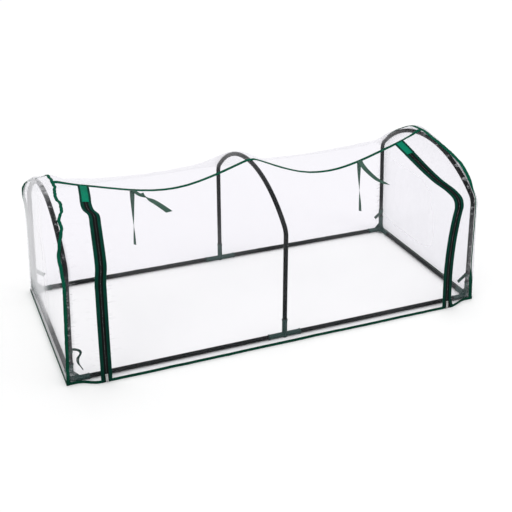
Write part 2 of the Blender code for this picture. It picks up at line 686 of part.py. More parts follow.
# Ties for the rolled-up door: at each place one strand hangs inside and one lies outside.
for end in (LEFT, RIGHT):
    side = SIDE_NAME[end]
    place = end * (HALF_LENGTH - (TIE_PLACE_LEFT if end == LEFT else TIE_PLACE_RIGHT))
    edges = (place - TIE_WIDTH / 2, place + TIE_WIDTH / 2)
    seat = min(ridge_underside(x) for x in edges) - TIE_THICKNESS / 2 - GAP
    hanger = Vector((place, 0, seat))
    top = []
    under = []
    for y, points in ((-TIE_THICKNESS / 2, top), (TIE_THICKNESS / 2, under)):
        points += [Vector((x, y, height)) for height in (seat, seat - TIE_DROP) for x in edges]
    slab(f"inner_tie_{side}", top, under, 2, 2, GREEN_TIE, root, hanger)

    start = SEAM_ARC + 2 * GAP
    low = FILM_HIGH + TIE_LIFT
    high = low + TIE_THICKNESS
    tie_fall = OUTER_TIE_FALL_LEFT if end == LEFT else OUTER_TIE_FALL_RIGHT
    tie_drift = OUTER_TIE_DRIFT_LEFT if end == LEFT else OUTER_TIE_DRIFT_RIGHT
    half_cut = TIE_WIDTH / 2 * math.hypot(tie_drift, tie_fall) / tie_fall

    def tie_span(arc):
        middle = place + tie_drift * (arc - start) / tie_fall
        return [middle - half_cut, middle, middle + half_cut]

    sewn_edge = [cover(x, start, high) for x in tie_span(start)]
    origin = max(sewn_edge, key=lambda point: point.z)
    rows = stations(start, start + tie_fall)
    sheet(f"outer_tie_{side}", tie_span, rows, low, high, GREEN_TIE, door, origin)

# Corner ties: a loop round each end upright, then a tail that turns down inside the tunnel.
LOOP_STEPS = 10
LOOP_SWEEP = math.radians(320)
TAIL_STEPS = 3
TAIL_TURN = math.radians(75)
TIE_RISE = Vector((0, 0, 1))


def corner_tie_route(axis, end, side):
    """Places along a corner tie, each with the tape's outward face and its upper edge."""
    slant = FRAME_TIE_WIDTH * math.tan(END_LEAN) / 2
    loop_radius = (TUBE_RADIUS + GAP + slant) / math.cos(LOOP_SWEEP / LOOP_STEPS / 2)
    heading = Vector((-end, 0, 0))
    face = Vector((0, -side, 0))
    route = []
    for turn in spread(-LOOP_SWEEP, 0, LOOP_STEPS):
        away = Matrix.Rotation(-end * side * turn, 3, "Z") @ face
        route.append((axis + away * loop_radius, away, TIE_RISE))
    start = route[-1][0]
    for turn in spread(0, TAIL_TURN, TAIL_STEPS)[1:]:
        drop = heading * math.sin(turn) + TIE_RISE * (math.cos(turn) - 1)
        edge = TIE_RISE * math.cos(turn) + heading * math.sin(turn)
        route.append((start + drop * FRAME_TIE_BEND, face, edge))
    onward = heading * math.cos(TAIL_TURN) - TIE_RISE * math.sin(TAIL_TURN)
    route.append((route[-1][0] + onward * FRAME_TIE_TAIL, face, edge))
    return route


for y, place in ((-HALF_WIDTH, "front"), (HALF_WIDTH, "back")):
    for end in (LEFT, RIGHT):
        axis = Vector((end * hoop_x(FRAME_TIE_HEIGHT), y, FRAME_TIE_HEIGHT))
        inner = []
        outer = []
        route = corner_tie_route(axis, end, math.copysign(1, y))
        for centre, away, edge in route:
            for level in (-FRAME_TIE_WIDTH / 2, FRAME_TIE_WIDTH / 2):
                inner.append(centre + edge * level)
                outer.append(centre + edge * level + away * TIE_THICKNESS)
        slab(f"corner_tie_{place}_{SIDE_NAME[end]}", outer, inner, len(route), 2, GREEN_TIE, root)

# The origin is under the middle of the whole object.
bpy.context.view_layer.update()
solids = [item for item in bpy.data.objects if item.type == "MESH"]
corners = [item.matrix_world @ Vector(c) for item in solids for c in item.bound_box]
for axis in (0, 1):
    values = [c[axis] for c in corners]
    root.location[axis] = -(min(values) + max(values)) / 2
bpy.context.view_layer.update()
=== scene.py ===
"""Looks of a low tunnel greenhouse: tube frame, clear film cover, green binding and a zipped door."""

import bisect
import math

import bmesh
import bpy
from mathutils import Matrix, Vector, noise


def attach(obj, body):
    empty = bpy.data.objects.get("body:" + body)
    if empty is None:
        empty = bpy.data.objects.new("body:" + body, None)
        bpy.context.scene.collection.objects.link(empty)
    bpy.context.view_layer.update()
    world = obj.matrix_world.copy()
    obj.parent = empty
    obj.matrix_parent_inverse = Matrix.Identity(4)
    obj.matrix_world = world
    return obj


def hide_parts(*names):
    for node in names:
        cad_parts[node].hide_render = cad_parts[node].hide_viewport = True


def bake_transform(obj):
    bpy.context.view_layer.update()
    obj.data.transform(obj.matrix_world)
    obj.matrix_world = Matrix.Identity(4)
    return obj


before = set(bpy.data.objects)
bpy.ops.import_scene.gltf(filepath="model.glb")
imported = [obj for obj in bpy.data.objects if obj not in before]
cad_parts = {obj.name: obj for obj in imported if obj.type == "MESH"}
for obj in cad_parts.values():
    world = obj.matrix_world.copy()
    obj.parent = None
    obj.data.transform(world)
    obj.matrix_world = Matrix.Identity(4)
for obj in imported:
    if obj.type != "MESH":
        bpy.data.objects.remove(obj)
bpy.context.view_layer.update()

# Frame tubes: thin steel tube with a satin black coating. The rails lie on the ground, and each
# hoop is two uprights with an arch plugged into them, which shows as a fine dark ring below the bend.
FRAME_LENGTH, FRAME_WIDTH = 1.78, 0.78
SHOULDER_HEIGHT, CROWN_RISE, SHOULDER_RADIUS = 0.468, 0.164, 0.05
END_LEAN = math.radians(2.6)
RAIL_HEIGHT, TUBE_RADIUS, JOINT_DROP, PLUG_DEPTH = 0.0105, 0.009, 0.012, 0.0143
TUBE_SIDES, END_ROUND, COAT = 28, 0.0012, 0.0005
ARCH_STEPS, JOINT_GAP = 56, 0.0004
COVER_SHIFT = 0.014631
HALF_LENGTH, HALF_WIDTH = FRAME_LENGTH / 2, FRAME_WIDTH / 2
CROWN_RADIUS = (HALF_WIDTH ** 2 + CROWN_RISE ** 2) / (2 * CROWN_RISE)
CROWN_CENTRE = SHOULDER_HEIGHT + CROWN_RISE - CROWN_RADIUS
BEND_Y = HALF_WIDTH - SHOULDER_RADIUS
BEND_Z = CROWN_CENTRE + math.sqrt((CROWN_RADIUS - SHOULDER_RADIUS) ** 2 - BEND_Y ** 2)
BEND_START = math.atan2(BEND_Y, BEND_Z - CROWN_CENTRE)
CROWN_ARC = CROWN_RADIUS * BEND_START
ROOF_ARC = CROWN_ARC + SHOULDER_RADIUS * (math.pi / 2 - BEND_START)
WALL_TOP = RAIL_HEIGHT + BEND_Z
LEFT, RIGHT = -1, 1
SIDES = {LEFT: "left", RIGHT: "right"}
LONG_SIDES = {"front": -HALF_WIDTH, "back": HALF_WIDTH}


def hoop_outline(arc, out):
    """Reach from the middle plane and height of a hoop, by arc length from the ridge."""
    if arc <= CROWN_ARC:
        angle, radius = arc / CROWN_RADIUS, CROWN_RADIUS + out
        return radius * math.sin(angle), RAIL_HEIGHT + CROWN_CENTRE + radius * math.cos(angle)
    if arc <= ROOF_ARC:
        angle, radius = BEND_START + (arc - CROWN_ARC) / SHOULDER_RADIUS, SHOULDER_RADIUS + out
        return BEND_Y + radius * math.sin(angle), WALL_TOP + radius * math.cos(angle)
    return HALF_WIDTH + out, WALL_TOP - (arc - ROOF_ARC)


def spread(start, stop, steps):
    return [start + (stop - start) * i / steps for i in range(steps + 1)]


def set_sockets(tree, node, values):
    """Links each socket that is given, and sets each plain value."""
    for name, value in values.items():
        if isinstance(value, bpy.types.NodeSocket):
            tree.links.new(value, node.inputs[name])
        else:
            node.inputs[name].default_value = value


def new_node(tree, kind, sockets=None, **settings):
    made = tree.nodes.new(kind)
    for name, value in settings.items():
        setattr(made, name, value)
    set_sockets(tree, made, sockets or {})
    return made


def speckle(tree, vector, scale, **more):
    """A noise over the surface, from 0 to 1."""
    return new_node(tree, "ShaderNodeTexNoise", {"Vector": vector, "Scale": scale, **more}).outputs["Fac"]


def remap(tree, value, found=(0.0, 1.0), wanted=(0.0, 1.0)):
    """A value brought from the range it is found in to the one that is wanted."""
    sockets = {"Value": value, "From Min": found[0], "From Max": found[1],
               "To Min": wanted[0], "To Max": wanted[1]}
    return new_node(tree, "ShaderNodeMapRange", sockets).outputs["Result"]


def reckon(tree, operation, *values, **settings):
    sockets = dict(enumerate(values))
    return new_node(tree, "ShaderNodeMath", sockets, operation=operation, **settings).outputs[0]


def mix_colour(tree, share, first, second):
    """A colour between two. Each is a socket, or plain red, green and blue."""
    ends = [end if isinstance(end, bpy.types.NodeSocket) else (*end, 1.0) for end in (first, second)]
    sockets = {"Factor": share, 6: ends[0], 7: ends[1]}
    return new_node(tree, "ShaderNodeMix", sockets, data_type="RGBA").outputs[2]


def relief(tree, height, strength, distance):
    sockets = {"Height": height, "Strength": strength, "Distance": distance}
    return new_node(tree, "ShaderNodeBump", sockets).outputs["Normal"]


def effect_group(name, inputs, outputs):
    """An empty shader group. An input without a value takes a vector, and every output is a value."""
    group = bpy.data.node_groups.new(name, "ShaderNodeTree")
    for label, value in inputs.items():
        kind = "NodeSocketVector" if value is None else "NodeSocketFloat"
        socket = group.interface.new_socket(label, in_out="INPUT", socket_type=kind)
        if value is not None:
            socket.default_value = value
    for label in outputs:
        group.interface.new_socket(label, in_out="OUTPUT", socket_type="NodeSocketFloat")
    return group, group.nodes.new("NodeGroupInput").outputs, group.nodes.new("NodeGroupOutput")


def handling_marks():
    """Scuffs from handling: a mask of rubbed patches and a slow change of tone."""
    inputs = {"Vector": None, "Scuff Size": 60.0, "Tone Size": 6.0, "Amount": 0.5}
    group, given, result = effect_group("handling_marks", inputs, ("Scuffs", "Tone"))
    fine = speckle(group, given["Vector"], given["Scuff Size"], Detail=6.0, Roughness=0.7)
    slow = speckle(group, given["Vector"], given["Tone Size"])
    patchy = reckon(group, "MULTIPLY", remap(group, fine, (0.56, 0.74)), slow)
    set_sockets(group, result, {"Scuffs": reckon(group, "MULTIPLY", patchy, given["Amount"]), "Tone": slow})
    return group


MARKS = handling_marks()


def handled(tree, coords, scuff_size, tone_size, amount):
    """The handling marks placed in a material."""
    sockets = {"Vector": coords["Object"], "Scuff Size": scuff_size, "Tone Size": tone_size, "Amount": amount}
    return new_node(tree, "ShaderNodeGroup", sockets, node_tree=MARKS).outputs


def new_finish(name):
    """A material with its tree, its shader and its coordinates."""
    made = bpy.data.materials.new(name)
    made.use_nodes = True
    tree = made.node_tree
    return made, tree, tree.nodes["Principled BSDF"], new_node(tree, "ShaderNodeTexCoord").outputs


def coated_steel():
    made, tree, shader, coords = new_finish("satin_black_tube")
    marks = handled(tree, coords, scuff_size=140.0, tone_size=9.0, amount=0.25)
    colour = mix_colour(tree, marks["Tone"], (0.003, 0.0045, 0.005), (0.008, 0.010, 0.011))
    peel = speckle(tree, coords["Object"], 420.0)
    set_sockets(tree, shader, {
        "Base Color": mix_colour(tree, marks["Scuffs"], colour, (0.045, 0.05, 0.055)),
        "Roughness": remap(tree, marks["Tone"], wanted=(0.22, 0.38)),
        "Specular IOR Level": 0.12,
        "Normal": relief(tree, peel, strength=0.03, distance=0.0004)})
    return made


TUBE_FINISH = coated_steel()


def add_piece(name, points, faces, finish, sharp=40, places=None):
    """A mesh piece at the origin with outward faces. places gives each point's UV in metres."""
    mesh = bpy.data.meshes.new(name)
    mesh.from_pydata([Vector(p) for p in points], [], faces)
    shell = bmesh.new()
    shell.from_mesh(mesh)
    bmesh.ops.recalc_face_normals(shell, faces=shell.faces)
    shell.to_mesh(mesh)
    shell.free()
    mesh.shade_smooth()
    mesh.set_sharp_from_angle(angle=math.radians(sharp))
    mesh.materials.append(finish)
    if places:
        layer = mesh.uv_layers.new(name="run")
        for loop in mesh.loops:
            layer.data[loop.index].uv = places[loop.vertex_index]
    made = bpy.data.objects.new(name, mesh)
    bpy.context.scene.collection.objects.link(made)
    return made


def settle(made, body=None, node=None):
    """Gives a piece the body that carries it and the solid that it stands for."""
    if body:
        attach(made, body)
    if node:
        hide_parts(node)
    return made


def swept_rings(rings):
    """Points and faces of a closed skin over rings of points, with a flat cap at each end."""
    count = len(rings[0])
    last = (len(rings) - 1) * count
    faces = [(start + i, start + (i + 1) % count, start + count + (i + 1) % count, start + count + i)
             for start in range(0, last, count) for i in range(count)]
    faces += [tuple(reversed(range(count))), tuple(range(last, last + count))]
    return [p for ring in rings for p in ring], faces


def round_ring(centre, across, other, radius, sides):
    turns = [2 * math.pi * i / sides for i in range(sides)]
    return [centre + radius * (math.cos(t) * across + math.sin(t) * other) for t in turns]


def square_to(along):
    """Two directions square to a line and to each other."""
    across = Vector((0, 0, 1)) if abs(along.z) < 0.5 else Vector((0, 1, 0))
    other = along.cross(across).normalized()
    return other.cross(along), other


def frame_tube(node, route):
    """A tube along centres with two cross directions each, its cut ends eased."""
    radius = TUBE_RADIUS + COAT
    rings = [round_ring(*stop, radius, TUBE_SIDES) for stop in route]
    for last, before in ((0, 1), (-1, -2)):
        centre, across, other = route[last]
        inwards = (route[before][0] - centre).normalized() * END_ROUND
        rings[last] = round_ring(centre + inwards, across, other, radius, TUBE_SIDES)
    cuts = [round_ring(*route[i], radius - END_ROUND, TUBE_SIDES) for i in (0, -1)]
    points, faces = swept_rings([cuts[0], *rings, cuts[1]])
    made = add_piece(f"{node}_tube", points, faces, TUBE_FINISH, sharp=50)
    settle(made, "frame_and_cover", node)


def straight_route(start, stop, steps=12):
    across, other = square_to((stop - start).normalized())
    return [(start.lerp(stop, i / steps), across, other) for i in range(steps + 1)]


for place, y in LONG_SIDES.items():
    for end, side in SIDES.items():
        inner = Vector((end * PLUG_DEPTH, y + COVER_SHIFT, RAIL_HEIGHT))
        outer = Vector((end * (HALF_LENGTH - PLUG_DEPTH), y + COVER_SHIFT, RAIL_HEIGHT))
        frame_tube(f"{place}_rail_{side}", straight_route(inner, outer))
for end, side in SIDES.items():
    front = Vector((end * HALF_LENGTH, COVER_SHIFT - HALF_WIDTH + PLUG_DEPTH, RAIL_HEIGHT))
    back = Vector((end * HALF_LENGTH, COVER_SHIFT + HALF_WIDTH - PLUG_DEPTH, RAIL_HEIGHT))
    frame_tube(f"{side}_end_rail", straight_route(front, back))
for hoop, end in (("left", LEFT), ("middle", 0), ("right", RIGHT)):
    lean = Matrix.Rotation(-end * END_LEAN, 3, "Y")
    foot = Vector((end * HALF_LENGTH, COVER_SHIFT, RAIL_HEIGHT))
    for place, y in LONG_SIDES.items():
        low = foot + lean @ Vector((0, y, PLUG_DEPTH))
        high = foot + lean @ Vector((0, y, BEND_Z - JOINT_DROP - JOINT_GAP))
        frame_tube(f"{hoop}_hoop_{place}_upright", straight_route(low, high))
    route = []
    for arc in spread(-ROOF_ARC - JOINT_DROP, ROOF_ARC + JOINT_DROP, ARCH_STEPS):
        turn = -math.copysign(1, arc)
        reach, height = hoop_outline(abs(arc), 0)
        far_reach, far_height = hoop_outline(abs(arc), 1)
        centre = foot + lean @ Vector((0, turn * reach, height - RAIL_HEIGHT))
        away = lean @ Vector((0, turn * (far_reach - reach), far_height - height))
        route.append((centre, away, lean @ Vector((1, 0, 0))))
    frame_tube(f"{hoop}_hoop_arch", route)

# Connectors: injection-moulded dark green plastic. A corner holds two rails and an upright, and a tee
# holds two rails and the middle hoop. Each sleeve has a raised lip at its mouth and webs in its corners.
SLEEVE_RADIUS, SLEEVE_REACH, SLEEVE_SIDES = 0.0110, 0.072, 24
LIP_RADIUS, LIP_WIDTH, LIP_SLOPE = 0.0124, 0.007, 0.0014
CORNER_WEB, TEE_WEB, WEB_THICKNESS = 0.046, 0.019, 0.005
MOULD_GRAIN, MOULD_EASE, MOULD_ROUNDS = 0.0011, 0.5, 5


def moulded_plastic():
    made, tree, shader, coords = new_finish("dark_green_moulding")
    marks = handled(tree, coords, scuff_size=90.0, tone_size=25.0, amount=0.45)
    colour = mix_colour(tree, marks["Tone"], (0.005, 0.026, 0.023), (0.010, 0.045, 0.039))
    grain = speckle(tree, coords["Object"], 900.0, Detail=1.0)
    set_sockets(tree, shader, {
        "Base Color": mix_colour(tree, marks["Scuffs"], colour, (0.07, 0.13, 0.12)),
        "Roughness": remap(tree, marks["Scuffs"], wanted=(0.38, 0.62)),
        "Specular IOR Level": 0.35,
        "Normal": relief(tree, grain, strength=0.10, distance=0.0003)})
    return made


MOULDED = moulded_plastic()


def joined(parts):
    """Points and faces of several skins as one mesh."""
    points, faces = [], []
    for more, skin in parts:
        faces += [tuple(i + len(points) for i in face) for face in skin]
        points += more
    return points, faces


def plain_mesh(made):
    """Replaces a piece's mesh by what its modifiers make of it, and removes them."""
    bpy.context.view_layer.update()
    mesh = bpy.data.meshes.new_from_object(made.evaluated_get(bpy.context.evaluated_depsgraph_get()))
    made.modifiers.clear()
    made.data = mesh
    return mesh


def connector(node, centre, arms, web):
    """Sleeves, lips and webs melted into one moulding and cut flat where it stands."""
    parts = []
    for arm in arms:
        steps = ((-SLEEVE_RADIUS, SLEEVE_RADIUS), (SLEEVE_REACH - LIP_WIDTH, SLEEVE_RADIUS),
                 (SLEEVE_REACH - LIP_WIDTH + LIP_SLOPE, LIP_RADIUS), (SLEEVE_REACH, LIP_RADIUS))
        parts.append(swept_rings([round_ring(centre + arm * along, *square_to(arm), radius, SLEEVE_SIDES)
                                  for along, radius in steps]))
    pairs = [(a, b) for i, a in enumerate(arms) for b in arms[i + 1:] if a.dot(b) > -0.5]
    for first, second in pairs:
        normal = first.cross(second).normalized() * WEB_THICKNESS / 2
        tips = [centre, centre + first * web, centre + second * web]
        parts.append(swept_rings([[p - normal for p in tips], [p + normal for p in tips]]))
    made = add_piece(f"{node}_moulding", *joined(parts), MOULDED)
    melt = made.modifiers.new("melt", "REMESH")
    melt.mode, melt.voxel_size, melt.use_smooth_shade = "VOXEL", MOULD_GRAIN, True
    rounding = made.modifiers.new("ease", "SMOOTH")
    rounding.factor, rounding.iterations = MOULD_EASE, MOULD_ROUNDS
    mesh = plain_mesh(made)
    for vertex in mesh.vertices:
        vertex.co.z = max(vertex.co.z, 0.0)
    mesh.shade_smooth()
    settle(made, "frame_and_cover", node)


for place, y in LONG_SIDES.items():
    inwards = Vector((0, -math.copysign(1, y), 0))
    for end, side in SIDES.items():
        upright = Vector((-end * math.sin(END_LEAN), 0, math.cos(END_LEAN)))
        centre = Vector((end * HALF_LENGTH, y + COVER_SHIFT, RAIL_HEIGHT))
        arms = [Vector((-end, 0, 0)), inwards, upright]
        connector(f"corner_connector_{place}_{side}", centre, arms, CORNER_WEB)
    centre = Vector((0, y + COVER_SHIFT, RAIL_HEIGHT))
    arms = [Vector((1, 0, 0)), Vector((-1, 0, 0)), Vector((0, 0, 1))]
    connector(f"tee_connector_{place}", centre, arms, TEE_WEB)

# Cover film: soft clear vinyl, cut as one back sheet, one door, two front strips and two end panels.
# It hangs in the bays between the hoops, stands out at the hem, and puckers along every sewn edge.
FILM_GAP = 0.0012
FILM_OUT = TUBE_RADIUS + FILM_GAP
HALF_BINDING, SEAM_GAP, SEAM_LAP, SEAM_WRAP = 0.006, 0.0003, 0.002, 0.004
HEM_LIFT, HEM_WIDTH, HEM_TUCK = 0.0006, 0.012, 0.010
HEM_ARC = ROOF_ARC + WALL_TOP - HEM_LIFT
SEAM_ARC, FILM_ARC = 0.0004, HEM_ARC - HEM_TUCK
CROWN_TOP = RAIL_HEIGHT + SHOULDER_HEIGHT + CROWN_RISE
RIDGE_SAG, SLOPE_SAG = {LEFT: 0.086, RIGHT: 0.110}, {LEFT: 0.014, RIGHT: 0.030}
RIDGE_POWER, RIDGE_SKEW = 1.5, 0.8
SHOULDER_BULGE, DOOR_FLARE, CORNER_FLARE, BACK_FLARE = 0.02, 0.042, 0.010, 0.008
END_FLARE, END_BULGE = {LEFT: 0.010, RIGHT: 0.007}, 0.003
ARCH_ROLL, ROLL_START, ROLL_END = {LEFT: 0.042, RIGHT: 0.018}, 0.3, 0.8
ARCH_STRAY, STRAY_FADE, STRAY_POWER = {LEFT: 0.016, RIGHT: 0.008}, 0.45, 4
BACK_STRAY, BACK_STRAY_ARC, BACK_STRAY_RUN = {LEFT: 0.012, RIGHT: 0.0}, -0.37, 0.09
HOOP_SADDLE, HOOP_BLEND, FRONT_BLEND = 0.012, 0.15, 0.07
PUCKER, PUCKER_PITCH, PUCKER_BEAT = {LEFT: 0.00544, RIGHT: 0.00192}, 0.030, 2.3
LEG_TIGHT, LEG_START, LEG_BLEND = 0.8, 0.26, 0.16
GATHER_RISE, GATHER_MIDDLE = {LEFT: 0.020, RIGHT: 0.017}, {LEFT: -0.06, RIGHT: -0.08}
GATHER_RUN, GATHER_REACH = 0.085, {LEFT: 0.060, RIGHT: 0.045}
ZIP_HALF = 0.022
# Lines measured along the front: arc down from the ridge, and distance from the middle hoop.
ZIP_RUN = {
    LEFT: ((0.0, 0.706), (0.09, 0.719), (0.135, 0.7265), (0.175, 0.7265), (0.203, 0.7135), (0.26, 0.720),
           (0.33, 0.7305), (0.453, 0.7475), (0.5013, 0.7533), (0.527, 0.7540), (0.70, 0.7590),
           (0.8807, 0.7632), (0.9101, 0.764)),
    RIGHT: ((0.0, 0.721), (0.0835, 0.7236), (0.2, 0.734), (0.29, 0.7533), (0.354, 0.7806), (0.398, 0.790),
            (0.431, 0.784), (0.5015, 0.7699), (0.60, 0.7570), (0.73, 0.7500), (0.8807, 0.7533),
            (0.9101, 0.7535)),
}
SEAM_RUN = {
    LEFT: ((0.0, 0.823), (0.041, 0.8212), (0.0685, 0.8301), (0.1145, 0.8329), (0.150, 0.8275),
           (0.191, 0.8331), (0.234, 0.8493), (0.261, 0.8467), (0.296, 0.8565), (0.340, 0.8708),
           (0.392, 0.8838), (0.451, 0.8844), (0.487, 0.8816), (0.589, 0.8872), (0.735, 0.8958),
           (0.9101, 0.9066)),
    RIGHT: ((0.0, 0.8580), (0.091, 0.8605), (0.153, 0.8672), (0.200, 0.8755), (0.247, 0.8825),
            (0.293, 0.8850), (0.338, 0.8835), (0.363, 0.8815), (0.399, 0.8775), (0.433, 0.8765),
            (0.469, 0.8780), (0.541, 0.8810), (0.634, 0.8830), (0.739, 0.8860), (0.798, 0.8900),
            (0.9101, 0.8975)),
}


def clamp(value):
    return min(1.0, max(0.0, value))


def ease(value):
    value = clamp(value)
    return value * value * (3 - 2 * value)


def hump(value, middle, width):
    return math.exp(-((value - middle) / width) ** 2)


def fading(distance, reach):
    return math.exp(-distance / reach)


def wave(*place):
    return noise.noise(Vector(place))


def through(knots, place):
    """A smooth line through measured places."""
    marks = [k[0] for k in knots]
    i = min(max(bisect.bisect_right(marks, place) - 1, 0), len(knots) - 2)
    (a, low), (b, high) = knots[i], knots[i + 1]
    share = clamp((place - a) / (b - a))
    slopes = []
    for j in (i, i + 1):
        k, m = max(j - 1, 0), min(j + 1, len(knots) - 1)
        slopes.append((knots[m][1] - knots[k][1]) / (knots[m][0] - knots[k][0]) * (b - a))
    square, cube = share ** 2, share ** 3
    return (low * (2 * cube - 3 * square + 1) + slopes[0] * (cube - 2 * square + share)
            + high * (3 * square - 2 * cube) + slopes[1] * (cube - square))


def nearest_end(x):
    return LEFT if x < 0 else RIGHT


def cover_height(arc):
    return hoop_outline(abs(arc), FILM_OUT)[1]


def hoop_x(height):
    return HALF_LENGTH - math.tan(END_LEAN) * (height - RAIL_HEIGHT)


def flare(height):
    return clamp((WALL_TOP - height) / WALL_TOP)


def end_offset(end, height):
    """How far an end panel stands outside its hoop."""
    down = flare(height)
    rise = (height - WALL_TOP) / (CROWN_TOP - WALL_TOP)
    stray = ARCH_STRAY[end] * (1 - down) ** STRAY_POWER * (1 - STRAY_FADE * ease(rise))
    return FILM_OUT + END_FLARE[end] * down + END_BULGE * math.sin(math.pi * down) + stray


def arch_seam(end, arc):
    """Where an end arch's seam lies. It has rolled inwards at the crown, and it puckers."""
    along, height = abs(arc), cover_height(arc)
    rolled = ARCH_ROLL[end] * (1 - ease((along / CROWN_ARC - ROLL_START) / (ROLL_END - ROLL_START)))
    inset = SEAM_WRAP + SEAM_GAP + HALF_BINDING - end_offset(end, height) + rolled
    stray = BACK_STRAY[end] * hump(arc, BACK_STRAY_ARC, BACK_STRAY_RUN)
    front = ease((arc + FRONT_BLEND) / FRONT_BLEND)
    place = (hoop_x(height) - inset + stray) * (1 - front) + through(SEAM_RUN[end], max(arc, 0.0)) * front
    loose = 1 - LEG_TIGHT * ease((along - LEG_START) / LEG_BLEND)
    beat = arc / PUCKER_PITCH
    puckered = wave(beat, end * 7.3, 0.4) + 0.5 * wave(PUCKER_BEAT * beat, end * 3.1, 5.2)
    return end * (place + PUCKER[end] * loose * puckered)


def zip_line(end, arc):
    return end * through(ZIP_RUN[end], abs(arc))


def slack(x, arc):
    """0 where the end hoop holds the film, 1 from the zip inwards."""
    end = nearest_end(x)
    hoop_edge = hoop_x(cover_height(arc)) - 2 * TUBE_RADIUS
    held = min(abs(arch_seam(end, arc)) - HALF_BINDING, hoop_edge)
    return ease((held - abs(x)) / (held - abs(zip_line(end, arc)) - ZIP_HALF))


RIDGE_SPAN = {end: hoop_x(cover_height(0)) - 2 * TUBE_RADIUS for end in SIDES}
RIDGE_SPAN[LEFT] = min(RIDGE_SPAN[LEFT], abs(arch_seam(LEFT, 0)) - HALF_BINDING)


def ridge_sag(x):
    end = nearest_end(x)
    place = clamp((abs(x) - HOOP_SADDLE) / (RIDGE_SPAN[end] - HOOP_SADDLE)) ** RIDGE_SKEW
    return RIDGE_SAG[end] * math.sin(math.pi * place) ** RIDGE_POWER


def off_seam(x, arc):
    return abs(abs(x) - abs(arch_seam(nearest_end(x), arc)))


def off_hoop(x, arc, half, outside=0.0):
    """How far a point of the cover lies beyond a band along the end hoop."""
    return max(0.0, abs(abs(x) - hoop_x(cover_height(arc)) - outside) - half)


def crown_gather(x, arc):
    """How far the loose cover stands above an end hoop where its seam has bunched at the crown."""
    end = nearest_end(x)
    bunched = hump(arc, GATHER_MIDDLE[end], GATHER_RUN) * hump(off_seam(x, arc), 0, GATHER_REACH[end])
    return GATHER_RISE[end] * bunched


def cover_at(x, arc, out):
    """Point of the cover: arc runs down from the ridge, positive at the front and negative behind."""
    along = abs(arc)
    reach, height = hoop_outline(along, FILM_OUT + out + crown_gather(x, arc))
    free = slack(x, arc)
    bay = free * ease((abs(x) - HOOP_SADDLE) / HOOP_BLEND)
    if along < ROOF_ARC:
        fall = along / ROOF_ARC
        height -= ridge_sag(x) * (1 - fall) + SLOPE_SAG[nearest_end(x)] * bay * 4 * fall * (1 - fall)
        reach += SHOULDER_BULGE * bay * ease(2 * fall - 1)
    else:
        down = flare(height)
        hem = BACK_FLARE if arc < 0 else CORNER_FLARE + (DOOR_FLARE - CORNER_FLARE) * free
        reach += SHOULDER_BULGE * bay * (1 - down) + hem * down
    return Vector((x, COVER_SHIFT - math.copysign(reach, arc), height))


BILLOW, FOLD_DEPTH, SEAM_RISE, RIDGE_RISE, SADDLE_RISE = 0.0045, 0.0022, 0.0022, 0.0012, 0.0016
SEAM_FADE, RIDGE_FADE, SADDLE_FADE = 0.025, 0.03, 0.05
HOOP_CLEAR, CLEAR_BLEND = 0.02, 0.12


def ripple(x, arc):
    """How far the film stands off its mean surface: slow billows, hanging folds and sewn puckers."""
    clear = ease((abs(x) - HOOP_CLEAR) / CLEAR_BLEND)
    free = slack(x, arc) * clear
    billow = BILLOW * free * wave(4.3 * x, 3.7 * arc, 3.1)
    fold = FOLD_DEPTH * free * ease(abs(arc) / ROOF_ARC) * wave(17.0 * x, 2.2 * arc, 7.7)
    pucker = SEAM_RISE * fading(off_seam(x, arc), SEAM_FADE)
    pucker *= abs(wave(62.0 * arc, 9.0 * x, 2.0 * nearest_end(x)))
    gather = RIDGE_RISE * fading(abs(arc), RIDGE_FADE) * clear * wave(48.0 * x, 1.7, 8.0 * arc)
    saddle = SADDLE_RISE * fading(abs(x), SADDLE_FADE) * abs(wave(34.0 * arc + 20.0 * x, 30.0 * x, 8.8))
    return billow + fold + pucker + gather + saddle


SEAM_REACH, HOOP_REACH, ZIP_REACH, RIDGE_REACH = 0.022, 0.014, 0.020, 0.015
ZIP_CREASE, RIDGE_CREASE = 0.55, 0.5


def creased(x, arc):
    """How creased the film is: most at an end arch or over its hoop, fading to 0 in the free film."""
    creases = [fading(off_seam(x, arc), SEAM_REACH), fading(off_hoop(x, arc, TUBE_RADIUS), HOOP_REACH),
               RIDGE_CREASE * fading(abs(arc), RIDGE_REACH)]
    if arc > 0:
        off_zip = max(0.0, abs(abs(x) - abs(zip_line(nearest_end(x), arc))) - ZIP_HALF)
        creases.append(ZIP_CREASE * fading(off_zip, ZIP_REACH))
    return max(creases)


# Painted sheen on the film round the end uprights, and a painted reflection band on the front slope.
UPRIGHT_SHEEN, UPRIGHT_SHEEN_START, UPRIGHT_SHEEN_HALF, UPRIGHT_SHEEN_REACH = {LEFT: 0.06, RIGHT: 0.10}, 0.14, 0.006, 0.012
SLOPE_SHEEN, SLOPE_MIDDLE, SLOPE_RUN = 0.05, 0.40, 0.09
SLOPE_START, SLOPE_BLEND, SLOPE_FADE = 0.06, 0.12, 0.05


def painted_sheen_at(x, arc):
    """Painted sheen on the film: whitening tight round an end upright, and a painted reflection where the
    front slope takes the light.
    """
    end = nearest_end(x)
    tight = hump(off_hoop(x, arc, UPRIGHT_SHEEN_HALF), 0, UPRIGHT_SHEEN_REACH) * ease((abs(arc) - CROWN_ARC) / UPRIGHT_SHEEN_START)
    sheen_and_haze = UPRIGHT_SHEEN[end] * tight
    if arc > 0:
        to_zip = abs(zip_line(end, arc)) - abs(x)
        inside = ease((abs(x) - SLOPE_START) / SLOPE_BLEND) * ease(to_zip / SLOPE_FADE)
        sheen_and_haze += SLOPE_SHEEN * hump(arc, SLOPE_MIDDLE, SLOPE_RUN) * inside
    return sheen_and_haze


